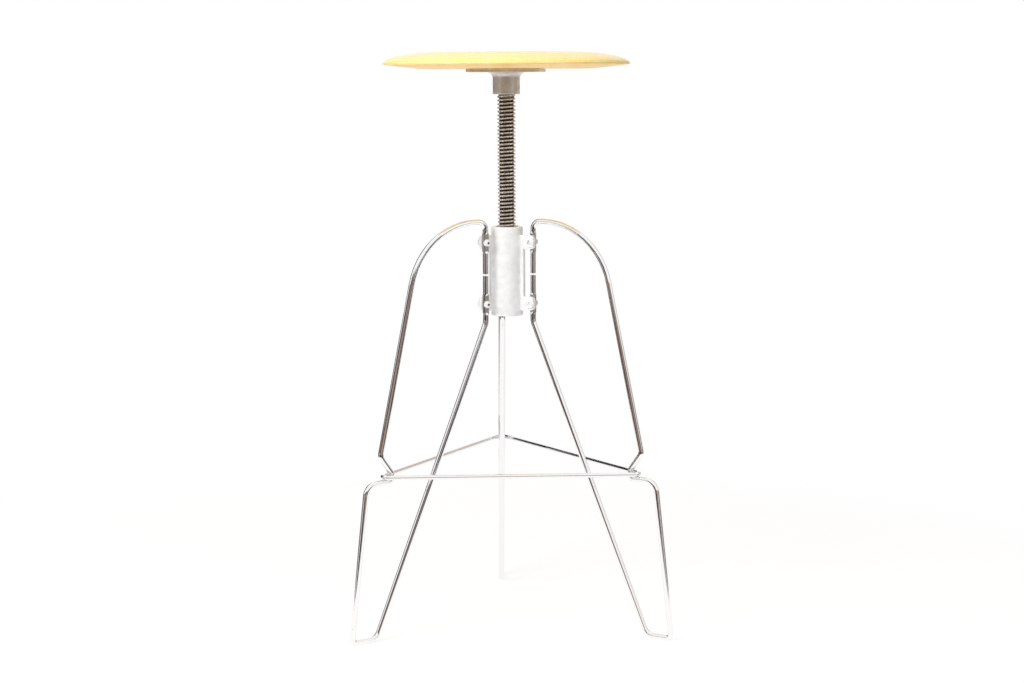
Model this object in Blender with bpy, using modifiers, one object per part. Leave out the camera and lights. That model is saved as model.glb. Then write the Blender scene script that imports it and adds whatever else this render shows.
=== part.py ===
"""Height-adjustable bar stool: a turned plywood seat on a lead screw, a cast hub and three bent rod legs.

Run with: blender --background --python part.py
Metres, +Z up. The floor is z = 0, the lead screw turns about the Z axis, and the rear leg points along +Y.
"""

import math

import bmesh
import bpy
from mathutils import Matrix, Vector

# Clearances
FACE_GAP = 0.0003  # between faces that rest on each other
SCREW_CLEARANCE = 0.0003  # between a fastener and its hole
THREAD_CLEARANCE = 0.0005  # between the lead screw's crests and the nut
WASHER_CLEARANCE = 0.0003  # between the stop washer and the bores round and inside it
STOP_CLEARANCE = 0.0010  # left between washer and nut at the top of the travel

# Lead screw, a 1 inch trapezoidal thread with five turns to the inch
SCREW_DIAMETER = 0.0254
SCREW_PITCH = 0.00508
SCREW_SHOWN = 0.1820  # from the hub up to the flange's boss, as photographed
SCREW_CHAMFER = 0.0020
THREAD_DEPTH = 0.00265
THREAD_CREST = 0.00188  # width of the flat on a crest
THREAD_FLANK = math.radians(14.5)
JOURNAL_STEP = 0.0017  # the plain end in the boss is smaller by this all round
LIFT_UP = 0.0500  # travel above the height in the photograph

# Nut and stop
NUT_WALL = 0.0027
NUT_LENGTH = 0.0400
NUT_RECESS = 0.0010
NUT_MOUTH = 0.0010  # chamfer of the nut's upper mouth
WASHER_THICKNESS = 0.0030
STOP_SHOULDER = 0.0120
STOP_HEAD = 0.0200
STOP_HEAD_HEIGHT = 0.0055
STOP_THREAD = 0.0080
STOP_THREAD_LENGTH = 0.0180
STOP_SOCKET = 0.0060  # across the flats
STOP_SOCKET_DEPTH = 0.0030

# Hub
HUB_BOTTOM = 0.4370  # above the floor
HUB_LENGTH = 0.1240
HUB_WALL = 0.00608  # round the nut
HUB_CHAMFER = 0.0010
HUB_TOP_ROUND = 0.0032  # radius of the rounded top edge
HUB_BORE_CLEARANCE = 0.0018  # round the lead screw, below the nut

# Ears of the hub, which hold the rods, and the rib between the two ears of a leg
EAR_TALL = 0.0190
EAR_TOP_MARGIN = 0.0115  # from the hub's top to the upper ears
EAR_BOTTOM_MARGIN = 0.0082  # from the hub's bottom to the lower ears
LUG_THICKNESS = 0.0065
LUG_OVERHANG = 0.0056  # past the middle of the rod
LUG_CORNER = 0.0055
RIB_THICKNESS = 0.0060
RIB_REACH = 0.0052  # past the hub's side
RIB_CORNER = 0.0012
EAR_SHANK = 0.0050  # diameter of both screws of an ear
CLAMP_HEAD = 0.0130
CLAMP_HEAD_HEIGHT = 0.0024
CLAMP_HEAD_RIM = 0.0008
CLAMP_SOCKET = 0.0050
CLAMP_SOCKET_DEPTH = 0.0018
SET_HEAD = 0.0097
SET_HEAD_HEIGHT = 0.0056
SET_HEAD_RIM = 0.0022
SET_SOCKET = 0.0030
SET_SOCKET_DEPTH = 0.0030
DOME_ANGLES = (0.0, math.radians(30), math.radians(60))  # where a domed head has its rings

# Leg rods. Each leg lies in an upright plane, and its sizes are along the radius or up from the floor.
LEG_AZIMUTHS = {"rear": math.radians(90), "left": math.radians(210), "right": math.radians(330)}
ROD_DIAMETER = 0.0080
LEG_SHIFT = 0.0060  # the leg's plane lies this far beside the hub's radius
LEG_STANDOFF = 0.01575  # from the hub's side to the middle of the rod
ROD_END_GAP = 0.0020
ROD_END_DROP = 0.0018  # the ends meet this far below the middle between the ears
FLAT_WIDTH = 0.0095  # the rod is pressed flat where it lies on an ear
FLAT_THICKNESS = 0.0053
FLAT_MARGIN = 0.0026  # past the ear, above and below
FLAT_RUNOUT = 0.0022  # from flat to round
ARCH_RISE = 0.0080  # the arch above the hub's top
OUTER_LEAN = math.radians(12.3)
SHELF_HEIGHT = 0.2208  # level arm that carries the footrest
SHELF_LENGTH = 0.0373
NOTCH_RADIUS = 0.1887  # back of the notch over the shelf
NOTCH_RISE = 0.0122
MOUTH_RISE = 0.0352  # the outer rod turns in to the notch at this height over the shelf
MOUTH_OVERHANG = 0.0163
FOOT_RADIUS = 0.2515  # outer end of the foot
FOOT_LENGTH = 0.0370
KINK_DROP = 0.0084  # below the hub, where the inner rod turns upright
BEND_SHOULDER = 0.0120
BEND_ARCH = 0.1020
BEND_MOUTH = 0.0120
BEND_NOTCH = 0.0060
BEND_SHELF = 0.0060
BEND_KNEE = 0.0180
BEND_TOE = 0.0065
BEND_HEEL = 0.0150
BEND_KINK = 0.0200

# Footrest
FOOTREST_DIAMETER = 0.00635
FOOTREST_SLACK = 0.0046  # between the back of the notch and the footrest's corner
FOOTREST_BEND = 0.0090

# Seat flange
FLANGE_SIDE = 0.1000
FLANGE_CORNER = 0.0060
FLANGE_THICKNESS = 0.0045
FLANGE_TURN = math.radians(-8)  # how far the seat stands turned from square
BOSS_WALL = 0.00745
BOSS_LENGTH = 0.0302
BOSS_FILLET = 0.0085
BOSS_CHAMFER = 0.0008
BOSS_SCREW_DIAMETER = 0.0060
BOSS_SCREW_RISE = 0.0120  # above the boss's lower end
BOSS_SCREW_RECESS = 0.0006
BOSS_SCREW_SOCKET = 0.0030
BOSS_SCREW_SOCKET_DEPTH = 0.0030
FLANGE_SCREW_INSET = 0.0120  # from the plate's edges
FLANGE_SCREW_DIAMETER = 0.0045
FLANGE_SCREW_HEAD = 0.0090
FLANGE_SCREW_GRIP = 0.0120  # length in the wood

# Seat
SEAT_DIAMETER = 0.3400
SEAT_THICKNESS = 0.0225
SEAT_RIM_RISE = 0.0055  # from the underside up to the rim, the widest line
SEAT_RIM_EDGE = 0.0020  # height of the blunt rim
SEAT_CROWN_WIDTH = 0.0750  # the top rounds down to the rim over this width
SEAT_CROWN_POWER = 1.15  # 1 is a quarter of an ellipse, and more is flatter at the rim
SEAT_BEVEL_WIDTH = 0.0500  # the underside slopes up to the rim over this width
SEAT_DISH_DEPTH = 0.0020
SEAT_DISH_FLAT = 0.0400  # radius of the level middle of the dish

# Facets of the round faces
SEAT_STEPS = 44
CROWN_STEPS = 7
ROUND_STEPS = 28
SMALL_STEPS = 24
THREAD_STEPS = 10  # in a turn
FASTENER_STEPS = 12
FILLET_STEPS = 5
CORNER_STEPS = 2
ROD_SIDES = 12
BEND_SAG = 0.0004  # how far a facet of a bend may lie inside its arc
SHARP_ANGLE = math.radians(35)

# Sizes and levels that follow from those above
NUT_RADIUS = SCREW_DIAMETER / 2 + THREAD_CLEARANCE + NUT_WALL
NUT_SEAT_RADIUS = NUT_RADIUS + FACE_GAP
HUB_RADIUS = NUT_SEAT_RADIUS + HUB_WALL
HUB_BORE_RADIUS = SCREW_DIAMETER / 2 + HUB_BORE_CLEARANCE
HUB_TOP = HUB_BOTTOM + HUB_LENGTH
NUT_TOP = HUB_TOP - NUT_RECESS
NUT_BOTTOM = NUT_TOP - NUT_LENGTH
WASHER_TOP = NUT_BOTTOM - LIFT_UP - STOP_CLEARANCE
SCREW_END = WASHER_TOP + FACE_GAP
STOP_HEAD_TOP = WASHER_TOP - WASHER_THICKNESS - FACE_GAP
BOSS_BOTTOM = HUB_TOP + SCREW_SHOWN
FLANGE_BOTTOM = BOSS_BOTTOM + BOSS_LENGTH
FLANGE_TOP = FLANGE_BOTTOM + FLANGE_THICKNESS
SEAT_UNDERSIDE = FLANGE_TOP + FACE_GAP
SEAT_TOP = SEAT_UNDERSIDE + SEAT_THICKNESS
JOURNAL_RADIUS = SCREW_DIAMETER / 2 - JOURNAL_STEP
BOSS_RADIUS = JOURNAL_RADIUS + SCREW_CLEARANCE + BOSS_WALL
EAR_LEVELS = {
    "upper": HUB_TOP - EAR_TOP_MARGIN - EAR_TALL / 2,
    "lower": HUB_BOTTOM + EAR_BOTTOM_MARGIN + EAR_TALL / 2,
}
EAR_ROOT = (NUT_SEAT_RADIUS + HUB_RADIUS) / 2  # inside the hub's wall
LUG_FACE = LEG_SHIFT - FLAT_THICKNESS / 2 - FACE_GAP  # the side of a lug that the rod lies on
LUG_BACK = LUG_FACE - LUG_THICKNESS
LEG_HUB_RADIUS = HUB_RADIUS + LEG_STANDOFF
ROD_RADIUS = ROD_DIAMETER / 2
FLAT_HALF = EAR_TALL / 2 + FLAT_MARGIN
FOOTREST_HEIGHT = SHELF_HEIGHT + ROD_RADIUS + FACE_GAP + FOOTREST_DIAMETER / 2
FOOTREST_TIP_RADIUS = NOTCH_RADIUS + ROD_RADIUS + FOOTREST_SLACK + FOOTREST_DIAMETER / 2


def clear_scene():
    """Removes every object that the scene starts with."""
    for obj in list(bpy.data.objects):
        bpy.data.objects.remove(obj, do_unlink=True)


def new_collection(name):
    collection = bpy.data.collections.new(name)
    bpy.context.scene.collection.children.link(collection)
    return collection


def new_material(name, colour, roughness, metallic):
    material = bpy.data.materials.new(name)
    material.use_nodes = True
    shader = material.node_tree.nodes["Principled BSDF"]
    shader.inputs["Base Color"].default_value = (*colour, 1.0)
    shader.inputs["Roughness"].default_value = roughness
    shader.inputs["Metallic"].default_value = metallic
    return material


def new_object(name, data, collection, material=None, parent=None):
    obj = bpy.data.objects.new(name, data)
    collection.objects.link(obj)
    obj.parent = parent
    if material:
        data.materials.append(material)
    return obj


def mesh_from(bm, name):
    mesh = bpy.data.meshes.new(name)
    bmesh.ops.recalc_face_normals(bm, faces=bm.faces)
    bm.to_mesh(mesh)
    bm.free()
    return mesh


def combine(target, other, operation):
    """Joins another object to the target, or cuts it away."""
    modifier = target.modifiers.new(f"{operation.lower()}_{other.name}", "BOOLEAN")
    modifier.operation = operation
    modifier.object = other
    other.hide_render = True
    other.display_type = "WIRE"


def turned(name, profile, steps, collection, material=None, parent=None):
    """A turned piece: the profile's (radius, height) points run down its outer side."""
    mesh = bpy.data.meshes.new(name)
    points = [(radius, 0.0, height) for radius, height in profile]
    mesh.from_pydata(points, [(i, i + 1) for i in range(len(points) - 1)], [])
    obj = new_object(name, mesh, collection, material, parent)
    screw = obj.modifiers.new("turn", "SCREW")
    screw.steps = screw.render_steps = steps
    screw.use_merge_vertices = True
    screw.merge_threshold = 1e-6
    return obj


def turned_ring(name, profile, steps, collection, material=None, parent=None):
    """A turned ring: the closed profile runs down its outer side and up its bore."""
    return turned(name, profile + profile[:1], steps, collection, material, parent)


def prism(name, radius, bottom, top, steps, collection):
    """An upright prism or cylinder between two heights."""
    bm = bmesh.new()
    middle = Matrix.Translation((0, 0, (top + bottom) / 2))
    bmesh.ops.create_cone(
        bm, cap_ends=True, segments=steps, radius1=radius, radius2=radius, depth=top - bottom, matrix=middle
    )
    return new_object(name, mesh_from(bm, name), collection)


def hexagon(name, across_flats, bottom, top, collection):
    """A hexagonal socket between two heights."""
    return prism(name, across_flats / math.sqrt(3), bottom, top, 6, collection)


def rounded_block(name, low, high, corner, is_rounded, collection):
    """A block between two corners, with rounded edges where is_rounded says so of an edge's middle and run."""
    low, high = Vector(low), Vector(high)
    bm = bmesh.new()
    bmesh.ops.create_cube(bm, size=1.0)
    bmesh.ops.scale(bm, vec=high - low, verts=bm.verts)
    bmesh.ops.translate(bm, vec=(low + high) / 2, verts=bm.verts)
    edges = [
        edge for edge in bm.edges
        if is_rounded((edge.verts[0].co + edge.verts[1].co) / 2, edge.verts[0].co - edge.verts[1].co)
    ]
    bmesh.ops.bevel(
        bm, geom=edges, offset=corner, segments=CORNER_STEPS, profile=0.5, affect="EDGES", clamp_overlap=True
    )
    return new_object(name, mesh_from(bm, name), collection)


def is_upright(middle, run):
    return abs(run.z) > run.length * 0.99


def fitted_reaches(corners, bends):
    """How far each bend reaches along the runs beside it, shortened where two bends would meet."""
    reaches = []
    for before, corner, after, radius in zip(corners, corners[1:], corners[2:], bends):
        turn = (corner - before).angle(after - corner)
        reaches.append(radius * math.tan(turn / 2))
    for i in range(len(reaches) - 1):
        run = (corners[i + 2] - corners[i + 1]).length
        share = min(1.0, run / (reaches[i] + reaches[i + 1]) * 0.999)
        reaches[i] *= share
        reaches[i + 1] *= share
    return reaches


def filleted(corners, bends):
    """Points along straight runs, with an arc of the given radius at each inner corner."""
    corners = [Vector(corner) for corner in corners]
    points = [corners[0]]
    reaches = fitted_reaches(corners, bends)
    for before, corner, after, reach in zip(corners, corners[1:], corners[2:], reaches):
        ahead = (corner - before).normalized()
        leaving = (after - corner).normalized()
        turn = ahead.angle(leaving)
        radius = reach / math.tan(turn / 2)
        start = corner - ahead * reach
        inward = (leaving - ahead * ahead.dot(leaving)).normalized()
        steps = max(2, math.ceil(turn / (2 * math.acos(1 - min(1.0, BEND_SAG / radius)))))
        for i in range(steps + 1):
            angle = turn * i / steps
            points.append(start + ahead * radius * math.sin(angle) + inward * radius * (1 - math.cos(angle)))
    points.append(corners[-1])
    return points


def bent_rod(name, points, diameter, cyclic=False):
    """A round rod along a path, with flats rather than corners above, below and at its sides."""
    curve = bpy.data.curves.new(name, "CURVE")
    curve.dimensions = "3D"
    curve.bevel_depth = diameter / 2 / math.cos(math.pi / ROD_SIDES)
    curve.bevel_resolution = (ROD_SIDES - 4) // 2
    curve.use_fill_caps = True
    spline = curve.splines.new("POLY")
    spline.points.add(len(points) - 1)
    for spot, point in zip(spline.points, points):
        spot.co = (*point, 1.0)
        spot.tilt = math.pi / ROD_SIDES
    spline.use_cyclic_u = cyclic
    return curve


def flat_ends(level):
    """Points up the centre line at an ear, where the rod stops being round, is flat, and is round again."""
    rises = (-FLAT_HALF - FLAT_RUNOUT, -FLAT_HALF, FLAT_HALF, FLAT_HALF + FLAT_RUNOUT)
    return [Vector((LEG_HUB_RADIUS, EAR_LEVELS[level] + rise)) for rise in rises]


def leg_path():
    """Centre line of a leg rod as (radius, height) points, from its upper ear round to its lower ear."""
    arch_height = HUB_TOP + ARCH_RISE
    mouth_radius = NOTCH_RADIUS + MOUTH_OVERHANG
    mouth_height = SHELF_HEIGHT + MOUTH_RISE
    arch_radius = mouth_radius - (arch_height - mouth_height) * math.tan(OUTER_LEAN)
    ends_height = (EAR_LEVELS["upper"] + EAR_LEVELS["lower"]) / 2 - ROD_END_DROP
    corners = [
        (LEG_HUB_RADIUS, ends_height + ROD_END_GAP / 2),
        (LEG_HUB_RADIUS, arch_height),
        (arch_radius, arch_height),
        (mouth_radius, mouth_height),
        (NOTCH_RADIUS, SHELF_HEIGHT + NOTCH_RISE),
        (NOTCH_RADIUS, SHELF_HEIGHT),
        (NOTCH_RADIUS + SHELF_LENGTH, SHELF_HEIGHT),
        (FOOT_RADIUS, ROD_RADIUS),
        (FOOT_RADIUS - FOOT_LENGTH, ROD_RADIUS),
        (LEG_HUB_RADIUS, HUB_BOTTOM - KINK_DROP),
        (LEG_HUB_RADIUS, ends_height - ROD_END_GAP / 2),
    ]
    bends = [
        BEND_SHOULDER, BEND_ARCH, BEND_MOUTH, BEND_NOTCH, BEND_SHELF,
        BEND_KNEE, BEND_TOE, BEND_HEEL, BEND_KINK,
    ]
    first, *bent, last = filleted(corners, bends)
    return [first, *flat_ends("upper"), *bent, *flat_ends("lower"), last]


def press_flats(bm):
    """Presses a leg rod flat at its two ears, so that it grows wider along the radius."""
    for vert in bm.verts:
        out, side = vert.co.x - LEG_HUB_RADIUS, vert.co.y - LEG_SHIFT
        at_ear = min(abs(vert.co.z - level) for level in EAR_LEVELS.values()) < FLAT_HALF + FLAT_RUNOUT / 2
        if at_ear and abs(out) < ROD_DIAMETER:
            vert.co.x = LEG_HUB_RADIUS + out * FLAT_WIDTH / ROD_DIAMETER
            vert.co.y = LEG_SHIFT + max(-FLAT_THICKNESS / 2, min(FLAT_THICKNESS / 2, side))


def leg_mesh(name):
    """A closed mesh of a leg rod in its upright plane, pressed flat at the ears."""
    curve = bent_rod(name, [(point.x, LEG_SHIFT, point.y) for point in leg_path()], ROD_DIAMETER)
    rod = new_object("rod_line", curve, bpy.context.scene.collection)
    bm = bmesh.new()
    bm.from_mesh(bpy.data.meshes.new_from_object(rod.evaluated_get(bpy.context.evaluated_depsgraph_get())))
    bpy.data.objects.remove(rod, do_unlink=True)
    bmesh.ops.remove_doubles(bm, verts=bm.verts, dist=1e-6)
    press_flats(bm)
    return mesh_from(bm, name)


def add_legs(stool, cutters, material, base):
    """Three equal rods, each turned to its azimuth about the axis and drilled where it lies on its ears."""
    for name, azimuth in LEG_AZIMUTHS.items():
        leg = new_object(f"leg_{name}", leg_mesh(f"leg_{name}"), stool, material, base)
        leg.rotation_euler.z = azimuth
        for level in EAR_LEVELS:
            combine(leg, cutters.objects[f"screw_hole_{name}_{level}"], "DIFFERENCE")


def add_footrest(stool, material, base):
    """A triangle of rod with rounded corners, which lies on the shelves of the three legs."""
    corner_radius = FOOTREST_TIP_RADIUS + FOOTREST_BEND
    turn = math.atan2(LEG_SHIFT, FOOTREST_TIP_RADIUS)
    corners = [
        Vector((math.cos(azimuth + turn), math.sin(azimuth + turn))) * corner_radius
        for azimuth in LEG_AZIMUTHS.values()
    ]
    start = (corners[-1] + corners[0]) / 2
    path = filleted([start, *corners, start], [FOOTREST_BEND] * len(corners))[:-1]
    points = [(point.x, point.y, 0.0) for point in path]
    ring = bent_rod("footrest_ring", points, FOOTREST_DIAMETER, cyclic=True)
    footrest = new_object("footrest_ring", ring, stool, material, base)
    footrest.location.z = FOOTREST_HEIGHT


def ears():
    """Each ear's name and frame: X runs outward from the axis, Y sideways and Z up from the ear's middle."""
    for level, height in EAR_LEVELS.items():
        for name, azimuth in LEG_AZIMUTHS.items():
            yield f"{name}_{level}", Matrix.Translation((0, 0, height)) @ Matrix.Rotation(azimuth, 4, "Z")


def cross_hole(ear):
    """A frame in the middle of the ear's rod, with Z pointing sideways along the hole for its two screws."""
    return ear @ Matrix.Translation((LEG_HUB_RADIUS, LEG_SHIFT, 0)) @ Matrix.Rotation(-math.pi / 2, 4, "X")


def add_ear(hub, cutters, name, ear):
    """A flat lug on the hub, which the rod lies on, drilled for the two screws that hold the rod."""
    half = EAR_TALL / 2
    lug = rounded_block(
        f"lug_{name}", (EAR_ROOT, LUG_BACK, -half), (LEG_HUB_RADIUS + LUG_OVERHANG, LUG_FACE, half),
        LUG_CORNER, lambda middle, run: abs(run.y) > run.length * 0.99 and middle.x > LEG_HUB_RADIUS, cutters,
    )
    lug.matrix_world = ear
    combine(hub, lug, "UNION")
    hole = prism(
        f"screw_hole_{name}", EAR_SHANK / 2 + SCREW_CLEARANCE, -EAR_TALL, EAR_TALL, FASTENER_STEPS, cutters
    )
    hole.matrix_world = cross_hole(ear)
    combine(hub, hole, "DIFFERENCE")


def add_rib(hub, cutters, name, azimuth):
    """An upright rib on the hub between the two ears of a leg, with rounded outer edges."""
    middle = (LUG_BACK + LUG_FACE) / 2
    rib = rounded_block(
        f"rib_{name}", (EAR_ROOT, middle - RIB_THICKNESS / 2, EAR_LEVELS["lower"]),
        (HUB_RADIUS + RIB_REACH, middle + RIB_THICKNESS / 2, EAR_LEVELS["upper"]),
        RIB_CORNER, lambda middle, run: is_upright(middle, run) and middle.x > HUB_RADIUS, cutters,
    )
    rib.rotation_euler.z = azimuth
    combine(hub, rib, "UNION")


def add_hub(stool, cutters, material, base):
    """The cast hub: a bored column with an upper and a lower ear for each leg, and a rib between them."""
    shoulder = NUT_BOTTOM - FACE_GAP
    top_round = min(HUB_TOP_ROUND, HUB_WALL)
    angles = [math.pi / 2 * i / FILLET_STEPS for i in range(FILLET_STEPS + 1)]
    profile = [
        *[
            (HUB_RADIUS - top_round * (1 - math.sin(angle)), HUB_TOP - top_round * (1 - math.cos(angle)))
            for angle in angles
        ],
        (HUB_RADIUS, HUB_BOTTOM + HUB_CHAMFER),
        (HUB_RADIUS - HUB_CHAMFER, HUB_BOTTOM),
        (HUB_BORE_RADIUS, HUB_BOTTOM),
        (HUB_BORE_RADIUS, shoulder),
        (NUT_SEAT_RADIUS, shoulder),
        (NUT_SEAT_RADIUS, HUB_TOP),
    ]
    hub = turned_ring("hub", profile, ROUND_STEPS, stool, material, base)
    for name, azimuth in LEG_AZIMUTHS.items():
        add_rib(hub, cutters, name, azimuth)
    for name, ear in ears():
        add_ear(hub, cutters, name, ear)


def dome(head, rim, height):
    """The (radius, rise) points of a screw's domed head, from its rim to near its top."""
    return [(head / 2 * math.cos(angle), rim + (height - rim) * math.sin(angle)) for angle in DOME_ANGLES]


def clamp_screw_profile():
    """A button-head screw along the cross hole, from the middle of the rod out to its head on the lug."""
    end = -FACE_GAP / 2
    under_head = LUG_BACK - LEG_SHIFT - FACE_GAP
    head = dome(CLAMP_HEAD, CLAMP_HEAD_RIM, CLAMP_HEAD_HEIGHT)
    return [
        (0, end), (EAR_SHANK / 2, end), (EAR_SHANK / 2, under_head), (CLAMP_HEAD / 2, under_head),
        *[(radius, under_head - rise) for radius, rise in head], (0, under_head - CLAMP_HEAD_HEIGHT),
    ]


def set_screw_profile():
    """A domed screw along the cross hole, from its head on the flat of the rod in to the middle of the rod."""
    end = FACE_GAP / 2
    under_head = FLAT_THICKNESS / 2 + FACE_GAP
    head = dome(SET_HEAD, SET_HEAD_RIM, SET_HEAD_HEIGHT)
    return [
        (0, under_head + SET_HEAD_HEIGHT), *[(radius, under_head + rise) for radius, rise in reversed(head)],
        (SET_HEAD / 2, under_head), (EAR_SHANK / 2, under_head), (EAR_SHANK / 2, end), (0, end),
    ]


def add_ear_screws(stool, cutters, material, base):
    """Two screws with socket heads hold each rod to its ear from both sides."""
    clamp_profile, set_profile = clamp_screw_profile(), set_screw_profile()
    clamp_top, set_top = clamp_profile[-1][1], set_profile[0][1]
    for name, ear in ears():
        clamp = turned(f"clamp_screw_{name}", clamp_profile, FASTENER_STEPS, stool, material, base)
        clamp_socket = hexagon(
            f"clamp_socket_{name}", CLAMP_SOCKET, clamp_top - CLAMP_SOCKET, clamp_top + CLAMP_SOCKET_DEPTH,
            cutters,
        )
        set_screw = turned(f"set_screw_{name}", set_profile, FASTENER_STEPS, stool, material, base)
        set_socket = hexagon(
            f"set_socket_{name}", SET_SOCKET, set_top - SET_SOCKET_DEPTH, set_top + SET_SOCKET, cutters
        )
        for piece in (clamp, clamp_socket, set_screw, set_socket):
            piece.matrix_world = cross_hole(ear)
        combine(clamp, clamp_socket, "DIFFERENCE")
        combine(set_screw, set_socket, "DIFFERENCE")


def add_nut(stool, material, base):
    """The nut that the lead screw runs in, seated on the hub's inner shoulder."""
    bore = SCREW_DIAMETER / 2 + THREAD_CLEARANCE
    profile = [
        (NUT_RADIUS, NUT_TOP), (NUT_RADIUS, NUT_BOTTOM), (bore, NUT_BOTTOM),
        (bore, NUT_TOP - NUT_MOUTH), (bore + NUT_MOUTH, NUT_TOP),
    ]
    turned_ring("nut_bush", profile, ROUND_STEPS, stool, material, base)


def thread_body(name, length, collection):
    """A trapezoidal thread some turns longer than needed, closed by a cone at each end."""
    crest = SCREW_DIAMETER / 2
    root = crest - THREAD_DEPTH
    flank = THREAD_DEPTH * math.tan(THREAD_FLANK)
    valley = SCREW_PITCH - THREAD_CREST - 2 * flank
    section = [
        (root, 0.0), (root, valley), (crest, valley + flank), (crest, valley + flank + THREAD_CREST),
        (root, SCREW_PITCH),
    ]
    turns = math.ceil(length / SCREW_PITCH) + 3
    bm = bmesh.new()
    verts = [bm.verts.new((radius, 0, height)) for radius, height in section]
    edges = [bm.edges.new(pair) for pair in zip(verts, verts[1:])]
    bmesh.ops.spin(
        bm, geom=verts + edges, axis=(0, 0, 1), cent=(0, 0, 0), dvec=(0, 0, SCREW_PITCH / THREAD_STEPS),
        angle=math.tau * turns, steps=THREAD_STEPS * turns,
    )
    bmesh.ops.remove_doubles(bm, verts=bm.verts, dist=1e-6)
    middle = turns * SCREW_PITCH / 2
    for end in (-1, 1):
        rim = [e for e in bm.edges if e.is_boundary and (e.verts[0].co.z - middle) * end > 0]
        tip = bm.verts.new((0, 0, middle + end * (middle + SCREW_PITCH)))
        for edge in rim:
            bm.faces.new((*edge.verts, tip))
    return new_object(name, mesh_from(bm, name), collection)


def add_lead_screw(stool, cutters, material, seat_axis):
    """The lead screw: a thread with chamfered ends, a plain journal up in the boss and a hole for the stop."""
    over = SCREW_DIAMETER / 2 + SCREW_CLEARANCE  # the envelope leaves the crests untouched
    top = BOSS_BOTTOM - FACE_GAP
    envelope = [
        (0, top), (over - SCREW_CHAMFER, top), (over, top - SCREW_CHAMFER),
        (over, SCREW_END + SCREW_CHAMFER), (over - SCREW_CHAMFER, SCREW_END), (0, SCREW_END),
    ]
    screw = turned("lift_screw", envelope, SMALL_STEPS, stool, material, seat_axis)
    thread = thread_body("thread", top - SCREW_END, cutters)
    thread.location.z = SCREW_END - 2 * SCREW_PITCH
    combine(screw, thread, "INTERSECT")
    journal_top = (FLANGE_BOTTOM + FLANGE_TOP) / 2
    journal = prism("journal", JOURNAL_RADIUS, top - SCREW_PITCH, journal_top, SMALL_STEPS, cutters)
    combine(screw, journal, "UNION")
    hole_top = SCREW_END + STOP_THREAD_LENGTH + FACE_GAP
    hole = prism(
        "stop_hole", STOP_THREAD / 2 + SCREW_CLEARANCE, SCREW_END - SCREW_PITCH, hole_top,
        FASTENER_STEPS, cutters,
    )
    combine(screw, hole, "DIFFERENCE")


def add_stop(stool, cutters, material, lift_axis, seat_axis):
    """The stop under the lead screw: a loose washer on a shoulder screw."""
    outer = HUB_BORE_RADIUS - WASHER_CLEARANCE
    bore = STOP_SHOULDER / 2 + WASHER_CLEARANCE
    washer_bottom = WASHER_TOP - WASHER_THICKNESS
    washer = [(outer, WASHER_TOP), (outer, washer_bottom), (bore, washer_bottom), (bore, WASHER_TOP)]
    turned_ring("stop_washer", washer, ROUND_STEPS, stool, material, lift_axis)
    shank, shoulder, head = STOP_THREAD / 2, STOP_SHOULDER / 2, STOP_HEAD / 2
    tip = SCREW_END + STOP_THREAD_LENGTH
    head_bottom = STOP_HEAD_TOP - STOP_HEAD_HEIGHT
    profile = [
        (0, tip), (shank, tip), (shank, WASHER_TOP), (shoulder, WASHER_TOP),
        (shoulder, STOP_HEAD_TOP), (head, STOP_HEAD_TOP), (head, head_bottom), (0, head_bottom),
    ]
    stop = turned("stop_screw", profile, FASTENER_STEPS, stool, material, seat_axis)
    socket_top = head_bottom + STOP_SOCKET_DEPTH
    socket = hexagon("stop_socket", STOP_SOCKET, head_bottom - STOP_SOCKET, socket_top, cutters)
    combine(stop, socket, "DIFFERENCE")


def flange_screw_spots():
    """The four places of the seat's screws, turned with the flange."""
    turn = Matrix.Rotation(FLANGE_TURN, 4, "Z")
    half = FLANGE_SIDE / 2 - FLANGE_SCREW_INSET
    return [turn @ Vector((x * half, y * half, 0)) for x, y in ((1, 1), (-1, 1), (-1, -1), (1, -1))]


def flange_screw_profile(grow):
    """A countersunk screw, head down, or its hole when grown by a clearance."""
    head, shank = FLANGE_SCREW_HEAD / 2 + grow, FLANGE_SCREW_DIAMETER / 2 + grow
    bottom = FLANGE_BOTTOM - grow
    top = SEAT_UNDERSIDE + FLANGE_SCREW_GRIP + grow
    return [(0, top), (shank, top), (shank, bottom + head - shank), (head, bottom), (0, bottom)]


def cut_flange_screw_holes(target, cutters):
    for i, spot in enumerate(flange_screw_spots(), 1):
        profile = flange_screw_profile(SCREW_CLEARANCE)
        hole = turned(f"{target.name}_hole_{i}", profile, FASTENER_STEPS, cutters)
        hole.location = spot
        combine(target, hole, "DIFFERENCE")


def boss_screw_frame():
    """A frame on the axis at the set screw's height, with Z pointing out through the boss."""
    height = Matrix.Translation((0, 0, BOSS_BOTTOM + BOSS_SCREW_RISE))
    return Matrix.Rotation(FLANGE_TURN, 4, "Z") @ height @ Matrix.Rotation(math.pi / 2, 4, "Y")


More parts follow.
